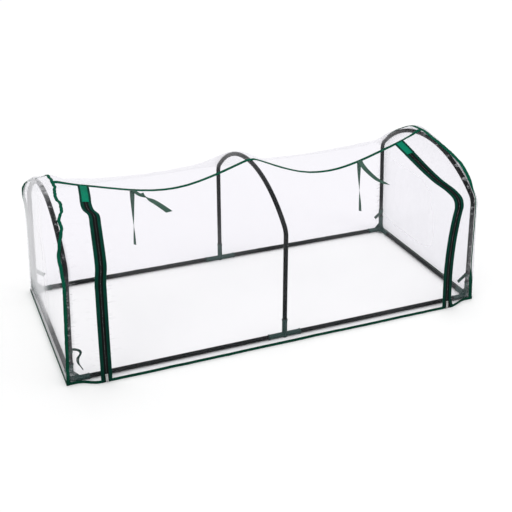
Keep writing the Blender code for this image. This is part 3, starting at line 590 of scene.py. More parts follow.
# Painted dark streaks on the film round the end hoops.
DARK_STREAK_SHADE, DARK_STREAK_START, DARK_STREAK_BLEND = {LEFT: 0.35, RIGHT: 0.85}, 0.14, 0.08
DARK_STREAK_OUT, DARK_STREAK_HALF, DARK_STREAK_REACH, BAND_MEAN, BAND_SWING = 0.004, 0.010, 0.007, 0.7, 0.6


def dark_streak_shade_at(x, arc):
    """Painted dark streaks round an end hoop: slanting bands that stand for the black tube seen through
    wrinkled film.
    """
    end = nearest_end(x)
    bands = BAND_MEAN + BAND_SWING * wave(46.0 * arc + 60.0 * x, 2.0 * end, 25.0 * x)
    near = hump(off_hoop(x, arc, DARK_STREAK_HALF, DARK_STREAK_OUT), 0, DARK_STREAK_REACH)
    return max(0.0, DARK_STREAK_SHADE[end] * ease((arc - DARK_STREAK_START) / DARK_STREAK_BLEND) * near * bands)


def clear_vinyl():
    """Film that shows only at a slant and in its creases, with its own haze, painted sheen, painted
    highlights along its creases and painted dark streaks round the end hoops.
    """
    made, tree, shader, coords = new_finish("clear_vinyl")
    seams, painted_sheen_mark, dark_streaks = [new_node(tree, "ShaderNodeAttribute", attribute_name=name).outputs["Fac"]
                           for name in ("pucker", "sheen_and_haze", "dark_streak_shade")]
    place = coords["Object"]
    hang = new_node(tree, "ShaderNodeMapping", {"Vector": place, "Scale": (18.0, 18.0, 7.0)})
    slant = new_node(tree, "ShaderNodeMapping", {"Vector": place, "Rotation": (0.7, 0.5, 0.0),
                                                 "Scale": (30.0, 30.0, 85.0)})
    wide = speckle(tree, place, 3.2, Detail=3.0, Roughness=0.55)
    crinkle = speckle(tree, hang.outputs[0], 1.0, Detail=4.0, Distortion=1.6)
    sharp = speckle(tree, slant.outputs[0], 1.0, Detail=3.0, Distortion=0.8)
    haze = remap(tree, wide, (0.45, 0.75), (0.0, 0.022))
    # Painted highlights: white streaks along the creases.
    painted_crease_highlights = reckon(tree, "MULTIPLY", remap(tree, sharp, (0.56, 0.70), (0.0, 0.34)), seams)
    parted = remap(tree, sharp, (0.36, 0.50), (0.25, 1.0))
    smooth = new_node(tree, "ShaderNodeMix", {"Factor": seams, "A": 1.0, "B": parted}).outputs[0]
    # The film's own random haze plus painted sheen and painted crease highlights, which all raise its opaque
    # share.
    sheen_and_haze = reckon(tree, "ADD", reckon(tree, "MULTIPLY_ADD", painted_sheen_mark, smooth, haze), painted_crease_highlights)
    edge = new_node(tree, "ShaderNodeLayerWeight", {"Blend": 0.28}).outputs["Fresnel"]
    gloss = reckon(tree, "MULTIPLY_ADD", edge, 0.25, sheen_and_haze, use_clamp=True)
    folds = reckon(tree, "MULTIPLY_ADD", sharp, seams, crinkle)
    set_sockets(tree, shader, {
        "Base Color": mix_colour(tree, wide, (0.80, 0.80, 0.84), (0.90, 0.90, 0.93)),
        "Roughness": remap(tree, wide, wanted=(0.12, 0.28)),
        "Specular IOR Level": 0.35,
        "Normal": relief(tree, folds, strength=0.12, distance=0.004)})
    seen = new_node(tree, "ShaderNodeLightPath").outputs["Is Camera Ray"]
    # Painted dark streaks: the clear tint turns near black where the tube would show through wrinkled film.
    tint = mix_colour(tree, dark_streaks, (0.962, 0.955, 0.976), (0.09, 0.09, 0.10))
    clear = new_node(tree, "ShaderNodeBsdfTransparent", {"Color": mix_colour(tree, seen, (1, 1, 1), tint)})
    shown = reckon(tree, "MULTIPLY", gloss, seen)
    both = new_node(tree, "ShaderNodeMixShader", {0: shown, 1: clear.outputs[0], 2: shader.outputs[0]})
    set_sockets(tree, tree.nodes["Material Output"], {"Surface": both.outputs[0]})
    return made


VINYL = clear_vinyl()
INSIDE = Vector((0, COVER_SHIFT, 0.2))


def film(name, node, points, count, places, marks):
    """A sheet over rows of points, facing outwards. marks are the values that its finish reads."""
    faces = [(i, i + 1, i + count + 1, i + count) for row in range(0, len(points) - count, count)
             for i in range(row, row + count - 1)]
    made = add_piece(name, points, faces, VINYL, sharp=180, places=places)
    middle = made.data.polygons[len(faces) // 2]
    if (middle.center - INSIDE).dot(middle.normal) < 0:
        made.data.flip_normals()
    for mark, values in marks.items():
        made.data.attributes.new(mark, "FLOAT", "POINT").data.foreach_set("value", values)
    return settle(made, node=node)


COVER_ROWS, BACK_STEPS, DOOR_STEPS, STRIP_STEPS = 230, 180, 150, 16


def cover_film(name, node, first, last, sides, steps):
    """Film from one arc to another. sides gives its two edges at an arc."""
    places = [(x, arc) for arc in spread(first, last, COVER_ROWS) for x in spread(*sides(arc), steps)]
    points = [cover_at(x, arc, ripple(x, arc)) for x, arc in places]
    marks = {mark: [value(*place) for place in places]
             for mark, value in (("pucker", creased), ("sheen_and_haze", painted_sheen_at), ("dark_streak_shade", dark_streak_shade_at))}
    return film(name, node, points, steps + 1, places, marks)


def arch_edge(end, arc):
    return arch_seam(end, arc) - end * (HALF_BINDING - SEAM_LAP)


def zip_edge(end, inwards, arc):
    return zip_line(end, arc) - end * inwards * (ZIP_HALF - SEAM_LAP)


back_film = cover_film("back_film", "back_sheet", -FILM_ARC, -SEAM_ARC,
                       lambda arc: (arch_edge(LEFT, arc), arch_edge(RIGHT, arc)), BACK_STEPS)
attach(back_film, "frame_and_cover")
door_film = cover_film("door_film", "door_panel", SEAM_ARC, FILM_ARC,
                       lambda arc: (zip_edge(LEFT, 1, arc), zip_edge(RIGHT, 1, arc)), DOOR_STEPS)
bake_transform(door_film)


def strip_film(end, side):
    made = cover_film(f"front_film_{side}", f"front_strip_{side}", SEAM_ARC, FILM_ARC,
                      lambda arc: (arch_edge(end, arc), zip_edge(end, -1, arc)), STRIP_STEPS)
    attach(made, "frame_and_cover")
    return made


strip_films = {end: strip_film(end, side) for end, side in SIDES.items()}

PANEL_LOW, PANEL_ROWS, PANEL_STEPS = 0.0105, 56, 220
TURN_OVER = (0.15, 0.5, 1.0)
PANEL_BILLOW, PANEL_FOLD, PANEL_CREASE, SIDE_CREASE = 0.006, 0.0022, 9, 0.8
# Painted sheen on the end panels: how strong it is, and how much of it clears towards the top.
END_SHEEN, END_CLEAR = {LEFT: 0.55, RIGHT: 0.08}, {LEFT: 0.1, RIGHT: 1.0}
SHEEN_Y, SHEEN_BLEND, SHEEN_FOOT, SHEEN_TOP, TOP_BLEND = -0.14, 0.22, 0.15, 0.36, 0.12


def end_wall(end, arc, share, out):
    """Point of an end panel, from its foot to the arch."""
    rim = cover_at(arch_seam(end, arc), arc, 0)
    height = PANEL_LOW + (rim.z - PANEL_LOW) * share
    hem = BACK_FLARE if arc < 0 else CORNER_FLARE
    reach = rim.y - COVER_SHIFT
    y = rim.y + math.copysign(hem * flare(height) * abs(reach) / (HALF_WIDTH + FILM_OUT), reach)
    return Vector((end * (hoop_x(height) + end_offset(end, height) + out), y, height))


def panel_at(end, arc, share, side_turn, top_turn):
    """Point of an end panel that may be turned over its hoop towards the arch binding."""
    depth = 4 * share * (1 - share) * (1 - (arc / ROOF_ARC) ** 2)
    billow = PANEL_BILLOW * depth * wave(5.0 * arc, 2.6 * share, 4.0 * end)
    fold = PANEL_FOLD * depth * wave(19.0 * arc, 1.3 * share, 9.0 * end)
    point = end_wall(end, arc, share, billow + fold)
    turned = max(side_turn, top_turn)
    if turned:
        seam_arc = arc if top_turn else math.copysign(ROOF_ARC + max(0.0, WALL_TOP - point.z), arc)
        seam = arch_seam(end, seam_arc) + end * (HALF_BINDING - SEAM_LAP)
        point.x += (seam - point.x) * turned
    return point


def end_sheen(end, point):
    # Painted sheen on an end panel: stronger towards the back and above the foot, cleared towards the top.
    high = 1 - END_CLEAR[end] * ease((point.z - SHEEN_TOP) / TOP_BLEND)
    return END_SHEEN[end] * ease((point.y - SHEEN_Y) / SHEEN_BLEND) * ease(point.z / SHEEN_FOOT) * high


def end_film(end, side):
    """A panel outside the hoop, turned over its top and sides as far as the arch binding."""
    columns = [(-ROOF_ARC, turn) for turn in reversed(TURN_OVER)]
    columns += [(arc, 0) for arc in spread(-ROOF_ARC, ROOF_ARC, PANEL_STEPS)]
    columns += [(ROOF_ARC, turn) for turn in TURN_OVER]
    rows = [(share, 0) for share in spread(0, 1, PANEL_ROWS)] + [(1, turn) for turn in TURN_OVER]
    points, creases = [], []
    for share, top_turn in rows:
        for arc, side_turn in columns:
            points.append(panel_at(end, arc, share, side_turn, top_turn))
            creases.append(SIDE_CREASE if side_turn else max(0.0, 1 - PANEL_CREASE * abs(1 - share)))
    marks = {"pucker": creases, "sheen_and_haze": [end_sheen(end, p) for p in points]}
    places = [(p.y, p.z) for p in points]
    made = film(f"{side}_end_film", f"{side}_end_panel", points, len(columns), places, marks)
    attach(made, "frame_and_cover")
    return made


end_films = {end: end_film(end, side) for end, side in SIDES.items()}

# Binding: dark green woven tape folded over every raw edge and sewn down with one line of stitches.
# It covers the ridge, both end arches and the hems. Towards the ground it is darkened with painted shade.
BINDING_LIFT, RIDGE_LIFT = (-0.0009, 0.0018), (-0.0009, 0.0024)
TAPE_HALF = {"ridge_tape": 0.0085, "right_arch_tape": 0.0085, "left_arch_tape": 0.0064}
RIDGE_INSET, RIDGE_STRAY, STRAY_RUN = 0.005, 0.020, 0.13
RIDGE_END_STRAY, END_STRAY_START, END_STRAY_BLEND = 0.026, 0.68, 0.18
LEG_TURN, TURN_START, TURN_BLEND, TURN_END, TURN_FADE = {LEFT: 0.0, RIGHT: 0.75}, 0.33, 0.10, 0.74, 0.08
RIDGE_FOLLOW, ARCH_FOLLOW, HEM_FOLLOW = 0.5, 0.4, 0.6
RUN_STEP = 0.005
FOLD = ((-1.0, 0.5), (-0.96, 0.82), (-0.84, 1.0), (-0.4, 0.92), (0.0, 0.9), (0.4, 0.92), (0.84, 1.0),
        (0.96, 0.82), (1.0, 0.5), (0.94, 0.12), (0.8, 0.0), (0.0, 0.0), (-0.8, 0.0), (-0.94, 0.12))
FOLD_TOP = FOLD.index((0.0, 0.9))
# Painted shade for the green tapes: the near-black green they darken towards, and the heights over which it
# fades.
GROUND_SHADE, GROUND_SHADE_LOW, GROUND_SHADE_HIGH = (0.0008, 0.004, 0.003), 0.02, 0.56


def woven_tape():
    """Plain weave in a piece's UV: crossed threads with a little fuzz."""
    group, given, result = effect_group("woven_tape", {"Vector": None, "Thread": 5500.0}, ("Threads",))
    sockets = {0: given["Vector"], "Scale": given["Thread"]}
    grown = new_node(group, "ShaderNodeVectorMath", sockets, operation="SCALE")
    parts = new_node(group, "ShaderNodeSeparateXYZ", {0: grown.outputs[0]}).outputs
    crossed = reckon(group, "MULTIPLY", *[reckon(group, "SINE", parts[axis]) for axis in "XY"])
    fuzz = speckle(group, given["Vector"], 190.0, Detail=4.0)
    set_sockets(group, result, {"Threads": reckon(group, "MULTIPLY_ADD", crossed, 0.35, fuzz)})
    return group


WEAVE = woven_tape()


def tape_finish(name, dark, pale, rough, thread=5500.0, low=1.0):
    """Woven tape. low is how much of its colour is left at the ground, where painted shade darkens it."""
    made, tree, shader, coords = new_finish(name)
    weave = new_node(tree, "ShaderNodeGroup", {"Vector": coords["UV"], "Thread": thread}, node_tree=WEAVE)
    threads = weave.outputs["Threads"]
    tone = reckon(tree, "MULTIPLY", threads, speckle(tree, coords["Object"], 14.0, Detail=3.0))
    woven = mix_colour(tree, remap(tree, tone, (0.05, 0.5)), dark, pale)
    height = new_node(tree, "ShaderNodeSeparateXYZ", {0: coords["Object"]}).outputs["Z"]
    # Painted shade: lower down the colour is mixed towards a near-black green, keeping only low of it at the
    # ground.
    unshaded_share = remap(tree, height, (GROUND_SHADE_LOW, GROUND_SHADE_HIGH), (low, 1.0))
    set_sockets(tree, shader, {
        "Base Color": mix_colour(tree, unshaded_share, GROUND_SHADE, woven), "Roughness": rough,
        "Specular IOR Level": 0.04, "Sheen Weight": 0.02, "Sheen Roughness": 0.4,
        "Normal": relief(tree, threads, strength=0.4, distance=0.0003)})
    return made


# The binding is darkened towards the ground with painted shade.
BINDING = tape_finish("green_binding_tape", (0.0004, 0.040, 0.022), (0.0008, 0.115, 0.062), 0.7, low=0.45)


def tape(name, places, at, half, finish, lifts=BINDING_LIFT,
         body="frame_and_cover", node=None):
    """A flat tape with soft edges. at gives a point from its run, its offset across and its lift."""
    low, high = lifts
    rings = [[at(place, half * across, low + (high - low) * lift) for across, lift in FOLD]
             for place in places]
    travel = [0.0]
    for first, second in zip(rings, rings[1:]):
        travel.append(travel[-1] + (second[FOLD_TOP] - first[FOLD_TOP]).length)
    woven = [(half * across, way) for way in travel for across, lift in FOLD]
    made = add_piece(name, *swept_rings(rings), finish, sharp=70, places=woven)
    return settle(made, body, node)


def run(first, last):
    return spread(first, last, max(2, round(abs(last - first) / RUN_STEP)))


def ridge_at(x, across, lift):
    """The ridge seam lies a little forward over the middle hoop, and a little back at the right end."""
    back = RIDGE_END_STRAY * ease((x - END_STRAY_START) / END_STRAY_BLEND)
    aside = RIDGE_STRAY * hump(x, 0, STRAY_RUN) - back
    return cover_at(x, across + aside, lift + ripple(x, 0) * RIDGE_FOLLOW)


def long_hem(turn):
    """Points along the front hem, or with turn -1 along the back one."""
    def at(x, across, lift):
        arc = turn * (HEM_ARC - HEM_WIDTH / 2) + across
        return cover_at(x, arc, lift + ripple(x, turn * FILM_ARC) * HEM_FOLLOW)
    return at


def arch_at(end):
    """Points along an end arch. The right tape stands nearly on edge down its leg."""
    def at(arc, across, lift):
        seam, along = arch_seam(end, arc), abs(arc)
        on_leg = ease((along - TURN_START) / TURN_BLEND) * (1 - ease((along - TURN_END) / TURN_FADE))
        wide = across * (1 - LEG_TURN[end] * on_leg)
        return cover_at(seam + wide, arc, lift + ripple(seam, arc) * ARCH_FOLLOW)
    return at


def end_hem_at(end):
    def at(arc, across, lift):
        foot = end_wall(end, arc, 0, lift)
        foot.z = HEM_LIFT + HEM_WIDTH / 2 + across
        foot.x = end * (hoop_x(foot.z) + end_offset(end, foot.z) + lift)
        return foot
    return at


ridge_run = run(arch_seam(LEFT, 0) + RIDGE_INSET, arch_seam(RIGHT, 0) - RIDGE_INSET)
back_run = run(arch_edge(LEFT, -HEM_ARC), arch_edge(RIGHT, -HEM_ARC))
door_run = run(zip_edge(LEFT, 1, HEM_ARC), zip_edge(RIGHT, 1, HEM_ARC))
bindings = [("ridge_tape", "ridge_binding", ridge_run, ridge_at),
            ("back_hem_tape", "back_hem", back_run, long_hem(-1)),
            ("door_hem_tape", "door_hem", door_run, long_hem(1))]
for end, side in SIDES.items():
    strip_run = run(arch_edge(end, HEM_ARC), zip_edge(end, -1, HEM_ARC))
    bindings.append((f"front_hem_tape_{side}", f"front_strip_hem_{side}", strip_run, long_hem(1)))
for end, side in SIDES.items():
    bindings.append((f"{side}_arch_tape", f"{side}_arch_binding", run(-HEM_ARC, HEM_ARC), arch_at(end)))
for end, side in SIDES.items():
    bindings.append((f"{side}_end_hem_tape", f"{side}_end_hem", run(-ROOF_ARC, ROOF_ARC), end_hem_at(end)))
for name, node, places, at in bindings:
    tape(name, places, at, TAPE_HALF.get(name, HALF_BINDING), BINDING,
         lifts=RIDGE_LIFT if name == "ridge_tape" else BINDING_LIFT,
         body="door" if name == "door_hem_tape" else "frame_and_cover", node=node)

# Zips: each has two black woven tapes with green borders and a row of moulded teeth on each tape. A green
# patch with a dark edging is sewn over its head, and its lower end runs out at the hem.
PATCH_LENGTH = {LEFT: 0.12, RIGHT: 0.088}
PATCH_ARC = {end: HALF_BINDING + SEAM_GAP + length for end, length in PATCH_LENGTH.items()}
PATCH_LAP, HEAD_EDGE, HEAD_EDGE_HALF = 0.004, 0.0178, 0.0044
WEB_GAP, WEB_HALF, BORDER_INNER = 0.0002, 0.0095, 0.0085
WEB_MIDDLE, BORDER_MIDDLE = (WEB_HALF + WEB_GAP) / 2, (ZIP_HALF + BORDER_INNER) / 2
WEB_LIFT, BORDER_EDGE_LIFT, HEAD_EDGE_LIFT = (-0.0006, 0.0006), (-0.0012, 0.0014), (0.0008, 0.0026)
TEETH_CROSS, TEETH_WIDTH, TEETH_PITCH, TEETH_FILL, TEETH_HEIGHT = 0.0003, 0.0032, 0.0022, 0.78, 0.0021
TEETH_END = HEM_ARC - 0.002
FOOT_SPREAD, FOOT_LENGTH = {LEFT: 0.0, RIGHT: 0.012}, 0.05
ZIP_EDGES = {1: ("frame", "frame_and_cover"), -1: ("door", "door")}
PATCH = tape_finish("green_patch_tape", (0.0004, 0.120, 0.068), (0.0008, 0.275, 0.155), 0.65)
# The zip borders are darkened towards the ground with painted shade.
ZIP_BORDER = tape_finish("green_zip_border", (0.0005, 0.020, 0.013), (0.0010, 0.062, 0.040), 0.7, low=0.5)
ZIP_WEB = tape_finish("black_zip_tape", (0.0016, 0.0022, 0.0022), (0.008, 0.009, 0.009), 0.8, thread=7000.0)


def zip_at(end, offset):
    """Points beside a zip. Positive offsets lie towards the end of the tunnel."""
    def at(arc, across, lift):
        aside = offset + across
        low = ease((arc - HEM_ARC + FOOT_LENGTH) / FOOT_LENGTH)
        parted = FOOT_SPREAD[end] * low * clamp(aside / BORDER_INNER)
        return cover_at(zip_line(end, arc) + end * (aside + parted), arc, lift)
    return at


for end, side in SIDES.items():
    head, length = run(SEAM_ARC, PATCH_ARC[end]), run(PATCH_ARC[end] - PATCH_LAP, HEM_ARC)
    tape(f"zip_head_patch_{side}", head, zip_at(end, 0), ZIP_HALF, PATCH, node=f"zip_patch_{side}")
    for sign, place in ((1, "outer"), (-1, "inner")):
        tape(f"zip_head_edge_{side}_{place}", head, zip_at(end, sign * HEAD_EDGE), HEAD_EDGE_HALF,
             ZIP_BORDER, HEAD_EDGE_LIFT)
    for sign, (edge, body) in ZIP_EDGES.items():
        tape(f"zip_web_{edge}_{side}", length, zip_at(end, sign * WEB_MIDDLE), WEB_HALF - WEB_MIDDLE,
             ZIP_WEB, WEB_LIFT, body)
        tape(f"zip_border_{edge}_{side}", length, zip_at(end, sign * BORDER_MIDDLE), ZIP_HALF - BORDER_MIDDLE,
             ZIP_BORDER, BORDER_EDGE_LIFT, body, f"zip_tape_{edge}_{side}")


def beads_along_line():
    """Geometry Nodes: a small rounded bead at each point of a line, turned to the line and its facing."""
    tree = bpy.data.node_groups.new("beads_along_line", "GeometryNodeTree")
    for label, kind in (("Geometry", "Geometry"), ("Bead Size", "Vector"), ("Finish", "Material")):
        tree.interface.new_socket(label, in_out="INPUT", socket_type=f"NodeSocket{kind}")
    tree.interface.new_socket("Geometry", in_out="OUTPUT", socket_type="NodeSocketGeometry")
    given = tree.nodes.new("NodeGroupInput").outputs
    line = new_node(tree, "GeometryNodeMeshToCurve", {0: given["Geometry"]})
    marks = new_node(tree, "GeometryNodeCurveToPoints", {"Curve": line.outputs[0]}, mode="EVALUATED")
    facing = new_node(tree, "GeometryNodeInputNamedAttribute", {"Name": "facing"}, data_type="FLOAT_VECTOR")
    sockets = {"Vector": marks.outputs["Tangent"]}
    along = new_node(tree, "FunctionNodeAlignRotationToVector", sockets, axis="Y")
    sockets = {"Rotation": along.outputs[0], "Vector": facing.outputs[0]}
    turned = new_node(tree, "FunctionNodeAlignRotationToVector", sockets, axis="Z", pivot_axis="Y")
    bead = new_node(tree, "GeometryNodeMeshIcoSphere", {"Radius": 0.5, "Subdivisions": 2})
    smooth = new_node(tree, "GeometryNodeSetShadeSmooth", {0: bead.outputs[0]})
    sockets = {"Points": marks.outputs["Points"], "Instance": smooth.outputs[0],
               "Rotation": turned.outputs[0], "Scale": given["Bead Size"]}
    placed = new_node(tree, "GeometryNodeInstanceOnPoints", sockets)
    real = new_node(tree, "GeometryNodeRealizeInstances", {0: placed.outputs[0]})
    done = new_node(tree, "GeometryNodeSetMaterial", {0: real.outputs[0], "Material": given["Finish"]})
    tree.links.new(done.outputs[0], tree.nodes.new("NodeGroupOutput").inputs[0])
    return tree


BEADS = beads_along_line()


def beads(name, lines, size, finish, body, node=None):
    """Beads along lines of (point, facing) pairs, made into one plain mesh."""
    points, edges, facings = [], [], []
    for line in lines:
        edges += [(len(points) + i, len(points) + i + 1) for i in range(len(line) - 1)]
        points += [point for point, facing in line]
        facings += [part for point, facing in line for part in facing]
    mesh = bpy.data.meshes.new(name)
    mesh.from_pydata(points, edges, [])
    mesh.attributes.new("facing", "FLOAT_VECTOR", "POINT").data.foreach_set("vector", facings)
    made = bpy.data.objects.new(name, mesh)
    bpy.context.scene.collection.objects.link(made)
    modifier = made.modifiers.new("beads", "NODES")
    modifier.node_group = BEADS
    keys = {item.name: item.identifier for item in BEADS.interface.items_tree if item.in_out == "INPUT"}
    modifier[keys["Bead Size"]] = size
    modifier[keys["Finish"]] = finish
    plain_mesh(made)
    return settle(made, body, node)


FACING_STEP = 0.01


def guided(places, at, across, lift):
    """A line of points with the way each faces."""
    line = [(at(place, across, lift), at(place, across, lift + FACING_STEP)) for place in places]
    return [(point, (above - point).normalized()) for point, above in line]


def moulded_teeth():
    made, tree, shader, coords = new_finish("zip_teeth")
    tone = speckle(tree, coords["Object"], 80.0)
    set_sockets(tree, shader, {
        "Base Color": mix_colour(tree, tone, (0.005, 0.006, 0.006), (0.022, 0.024, 0.024)),
        "Roughness": 0.42, "Specular IOR Level": 0.3})
    return made


TEETH = moulded_teeth()
TOOTH_SIZE = (TEETH_WIDTH, TEETH_PITCH * TEETH_FILL, TEETH_HEIGHT)
for end, side in SIDES.items():
    for sign, (edge, body) in ZIP_EDGES.items():
        start = PATCH_ARC[end] + (TEETH_PITCH / 2 if sign > 0 else 0)
        places = [start + TEETH_PITCH * i for i in range(int((TEETH_END - start) / TEETH_PITCH) + 1)]
        line = guided(places, zip_at(end, sign * (TEETH_WIDTH / 2 - TEETH_CROSS)), 0, 0)
        beads(f"zip_teeth_row_{edge}_{side}", [line], TOOTH_SIZE, TEETH, body,
              f"zip_teeth_{edge}_{side}")

# Stitches: pale green sewing thread, lockstitched by machine. One line runs along each binding, and one
# along each edge of both zip borders.
STITCH_SIZE, STITCH_ASIDE, STITCH_INSET = (0.0007, 0.0033, 0.0005), 0.0024, 0.002
BINDING_STITCH, RIDGE_STITCH, ZIP_STITCH, STITCH_END = 0.00171, 0.0023, 0.0013, 0.003
THREAD = tape_finish("stitch_thread", (0.002, 0.06, 0.035), (0.006, 0.14, 0.085), 0.6, thread=9000.0)
stitch_lines = {"frame_and_cover": [], "door": []}
for name, node, places, at in bindings:
    lift = RIDGE_STITCH if name == "ridge_tape" else BINDING_STITCH
    body = "door" if name == "door_hem_tape" else "frame_and_cover"
    stitch_lines[body].append(guided(places[1:-1], at, STITCH_ASIDE, lift))
for end in SIDES:
    for sign, (edge, body) in ZIP_EDGES.items():
        for offset in (BORDER_INNER + STITCH_INSET, ZIP_HALF - STITCH_INSET):
            places = run(PATCH_ARC[end], HEM_ARC - STITCH_END)
            stitch_lines[body].append(guided(places, zip_at(end, sign * offset), 0, ZIP_STITCH))
for body, lines in stitch_lines.items():
    beads(f"stitches_{body}", lines, STITCH_SIZE, THREAD, body)

# Sliders and pulls: zinc castings with a bright plate. The slider has two plates with a gap for the teeth
# and a bridge on the front. The pull is a stamped tab with a slot at the bridge and a hole at its free end.
SLIDER_REST, SLIDER_LENGTH, SLIDER_WIDTH, SLIDER_PLATE, TEETH_CLEAR = 0.030, 0.014, 0.011, 0.0015, 0.0015
SLIDER_ARC = HEM_ARC + HEM_LIFT - SLIDER_REST
SLIDER_HALF = ((0, 0.72), (0.2, 1), (0.82, 1), (1, 0.75), (0.96, 0), (0.72, -0.8), (0.6, -1))
BRIDGE_WIDTH, BRIDGE_SEAT = 0.0026, 0.9
BRIDGE_SIDE = ((-0.0056, 0.0), (-0.0052, 0.0022), (-0.0036, 0.0034), (0.0010, 0.0034), (0.0030, 0.0026),
               (0.0036, 0.0), (0.0026, 0.0), (0.0021, 0.0018), (0.0006, 0.0024), (-0.0032, 0.0024),
               (-0.0042, 0.0017), (-0.0045, 0.0))
PULL_WIDTH, PULL_LENGTH, PULL_THICKNESS, PULL_EAR, PULL_GAP = 0.010, 0.028, 0.0012, 0.0010, 0.0004
PULL_TILT = math.radians(6)
PULL_SLOT, SLOT_DROP, PULL_HOLE = (0.0042, 0.006), -0.0004, 0.0034
ZIP_SHOULDER, ZIP_FOOT = {LEFT: 0.752, RIGHT: 0.772}, {LEFT: 0.764, RIGHT: 0.752}


def plated_metal():
    made, tree, shader, coords = new_finish("plated_zinc")
    marks = handled(tree, coords, scuff_size=700.0, tone_size=120.0, amount=0.8)
    set_sockets(tree, shader, {
        "Base Color": mix_colour(tree, marks["Scuffs"], (0.42, 0.425, 0.42), (0.14, 0.145, 0.14)),
        "Roughness": remap(tree, marks["Tone"], wanted=(0.18, 0.42)),
        "Metallic": 1.0})
    return made


PLATED = plated_metal()
RIM_ANGLE, RIM_EASE, RIM_ROUND, SAME_LEVEL, SAME_POINT = 1.0, 0.22, 0.6, 1e-7, 1e-6


def stamped(loops, thickness, origin, axes):
    """Points and faces of a plate cut by closed loops, the first one its outline."""
    flat = bmesh.new()
    edges = []
    for loop in loops:
        corners = [flat.verts.new((x, y, -thickness / 2)) for x, y in loop]
        edges += [flat.edges.new(pair) for pair in zip(corners, corners[1:] + corners[:1])]
    bmesh.ops.triangle_fill(flat, use_beauty=True, edges=edges)
    lifted = bmesh.ops.extrude_face_region(flat, geom=list(flat.faces))["geom"]
    upper = [item for item in lifted if isinstance(item, bmesh.types.BMVert)]
    bmesh.ops.translate(flat, vec=(0, 0, thickness), verts=upper)
    bmesh.ops.recalc_face_normals(flat, faces=flat.faces)
    rims = [e for e in flat.edges if e.calc_face_angle(0) > RIM_ANGLE
            and abs(e.verts[0].co.z - e.verts[1].co.z) < SAME_LEVEL]
    bmesh.ops.bevel(flat, geom=rims, offset=thickness * RIM_EASE, segments=2, profile=RIM_ROUND,
                    affect="EDGES")
    flat.verts.index_update()
    points = [origin + axes @ v.co for v in flat.verts]
    faces = [tuple(v.index for v in f.verts) for f in flat.faces]
    flat.free()
    return points, faces


def oval(width, length, y, steps=14):
    """A slot outline with round ends, centred at a height."""
    radius, straight = width / 2, max(0.0, length - width) / 2
    turns = [(t, straight) for t in spread(0, math.pi, steps)]
    turns += [(t, -straight) for t in spread(math.pi, 2 * math.pi, steps)]
    corners = [(radius * math.cos(t), y + shift + radius * math.sin(t)) for t, shift in turns]
    return [p for p, before in zip(corners, corners[-1:] + corners) if math.dist(p, before) > SAME_POINT]


def slider_line(end, arc):
    """The straight lower part of a zip, which its slider follows."""
    share = (arc - ROOF_ARC) / (HEM_ARC - ROOF_ARC)
    return cover_at(end * (ZIP_SHOULDER[end] + (ZIP_FOOT[end] - ZIP_SHOULDER[end]) * share), arc, 0)


for end, side in SIDES.items():
    middle = slider_line(end, SLIDER_ARC)
    up = (slider_line(end, SLIDER_ARC - SLIDER_LENGTH) - middle).normalized()
    outwards = Vector((1, 0, 0)).cross(up).normalized()
    along = up.cross(outwards)
    axes = Matrix((along, up, outwards)).transposed()
    wide, tall = SLIDER_WIDTH / 2, SLIDER_LENGTH / 2
    outline = [(x * wide, y * tall) for x, y in SLIDER_HALF]
    outline += [(-x * wide, y * tall) for x, y in reversed(SLIDER_HALF[1:])]
    level = outwards * (TEETH_CLEAR + SLIDER_PLATE / 2)
    seat = middle + outwards * (TEETH_CLEAR + SLIDER_PLATE * BRIDGE_SEAT)
    parts = [stamped([outline], SLIDER_PLATE, middle + level, axes),
             stamped([outline], SLIDER_PLATE, middle - level, axes),
             stamped([BRIDGE_SIDE], BRIDGE_WIDTH, seat, Matrix((up, outwards, along)).transposed())]
    slider = add_piece(f"zip_slider_body_{side}", *joined(parts), PLATED, sharp=35)
    settle(slider, f"slider_{side}", f"zip_slider_{side}")

    pivot = middle + outwards * (TEETH_CLEAR + SLIDER_PLATE + PULL_GAP + PULL_EAR)
    tilt = Matrix.Rotation(-PULL_TILT, 3, along) @ axes
    loops = [oval(PULL_WIDTH, PULL_LENGTH, PULL_EAR - PULL_LENGTH / 2), oval(*PULL_SLOT, SLOT_DROP),
             oval(PULL_HOLE, PULL_HOLE, PULL_EAR - PULL_LENGTH + PULL_WIDTH / 2)]
    pull = add_piece(f"zip_pull_tab_{side}", *stamped(loops, PULL_THICKNESS, pivot, tilt), PLATED, sharp=35)
    settle(pull, f"pull_{side}", f"zip_pull_{side}")

# Ties: soft green woven tape. Two pairs are sewn to the ridge to hold the rolled door, one strand hanging
# inside and one lying outside, and a short one knotted round each end upright holds the cover to the frame.
TIE_PLACE = {LEFT: -0.51, RIGHT: 0.525}
TIE_HALF, TIE_DROP, TIE_THICKNESS = 0.010, 0.24, 0.0012
TIE_LIFT = (-TIE_THICKNESS / 2, TIE_THICKNESS / 2)
INNER_SEAT, INNER_NARROW, INNER_SWAY = {LEFT: 0.582746, RIGHT: 0.563428}, 0.35, 0.002
INNER_TURN, INNER_TURN_FIRST, INNER_TURN_RUN = 2.3, 0.12, 0.95
TIE_LEAN = {LEFT: -0.003, RIGHT: 0.018}
OUTER_FALL, OUTER_SPREAD = {LEFT: 0.20, RIGHT: 0.23}, {LEFT: 0.45, RIGHT: -0.1}
OUTER_START, OUTER_RISE, OUTER_ARCH, TWIST_RISE = 0.0069, 0.0034, 0.004, 0.0075
TWIST_FIRST, TWIST_RUN, TWIST_DEPTH, OUTER_SWAY = 0.22, 0.36, 0.7, 0.25
OUTER_POINT, POINT_LENGTH, SLOPE_STEP = {LEFT: 0.0, RIGHT: 0.8}, 0.1, 0.004
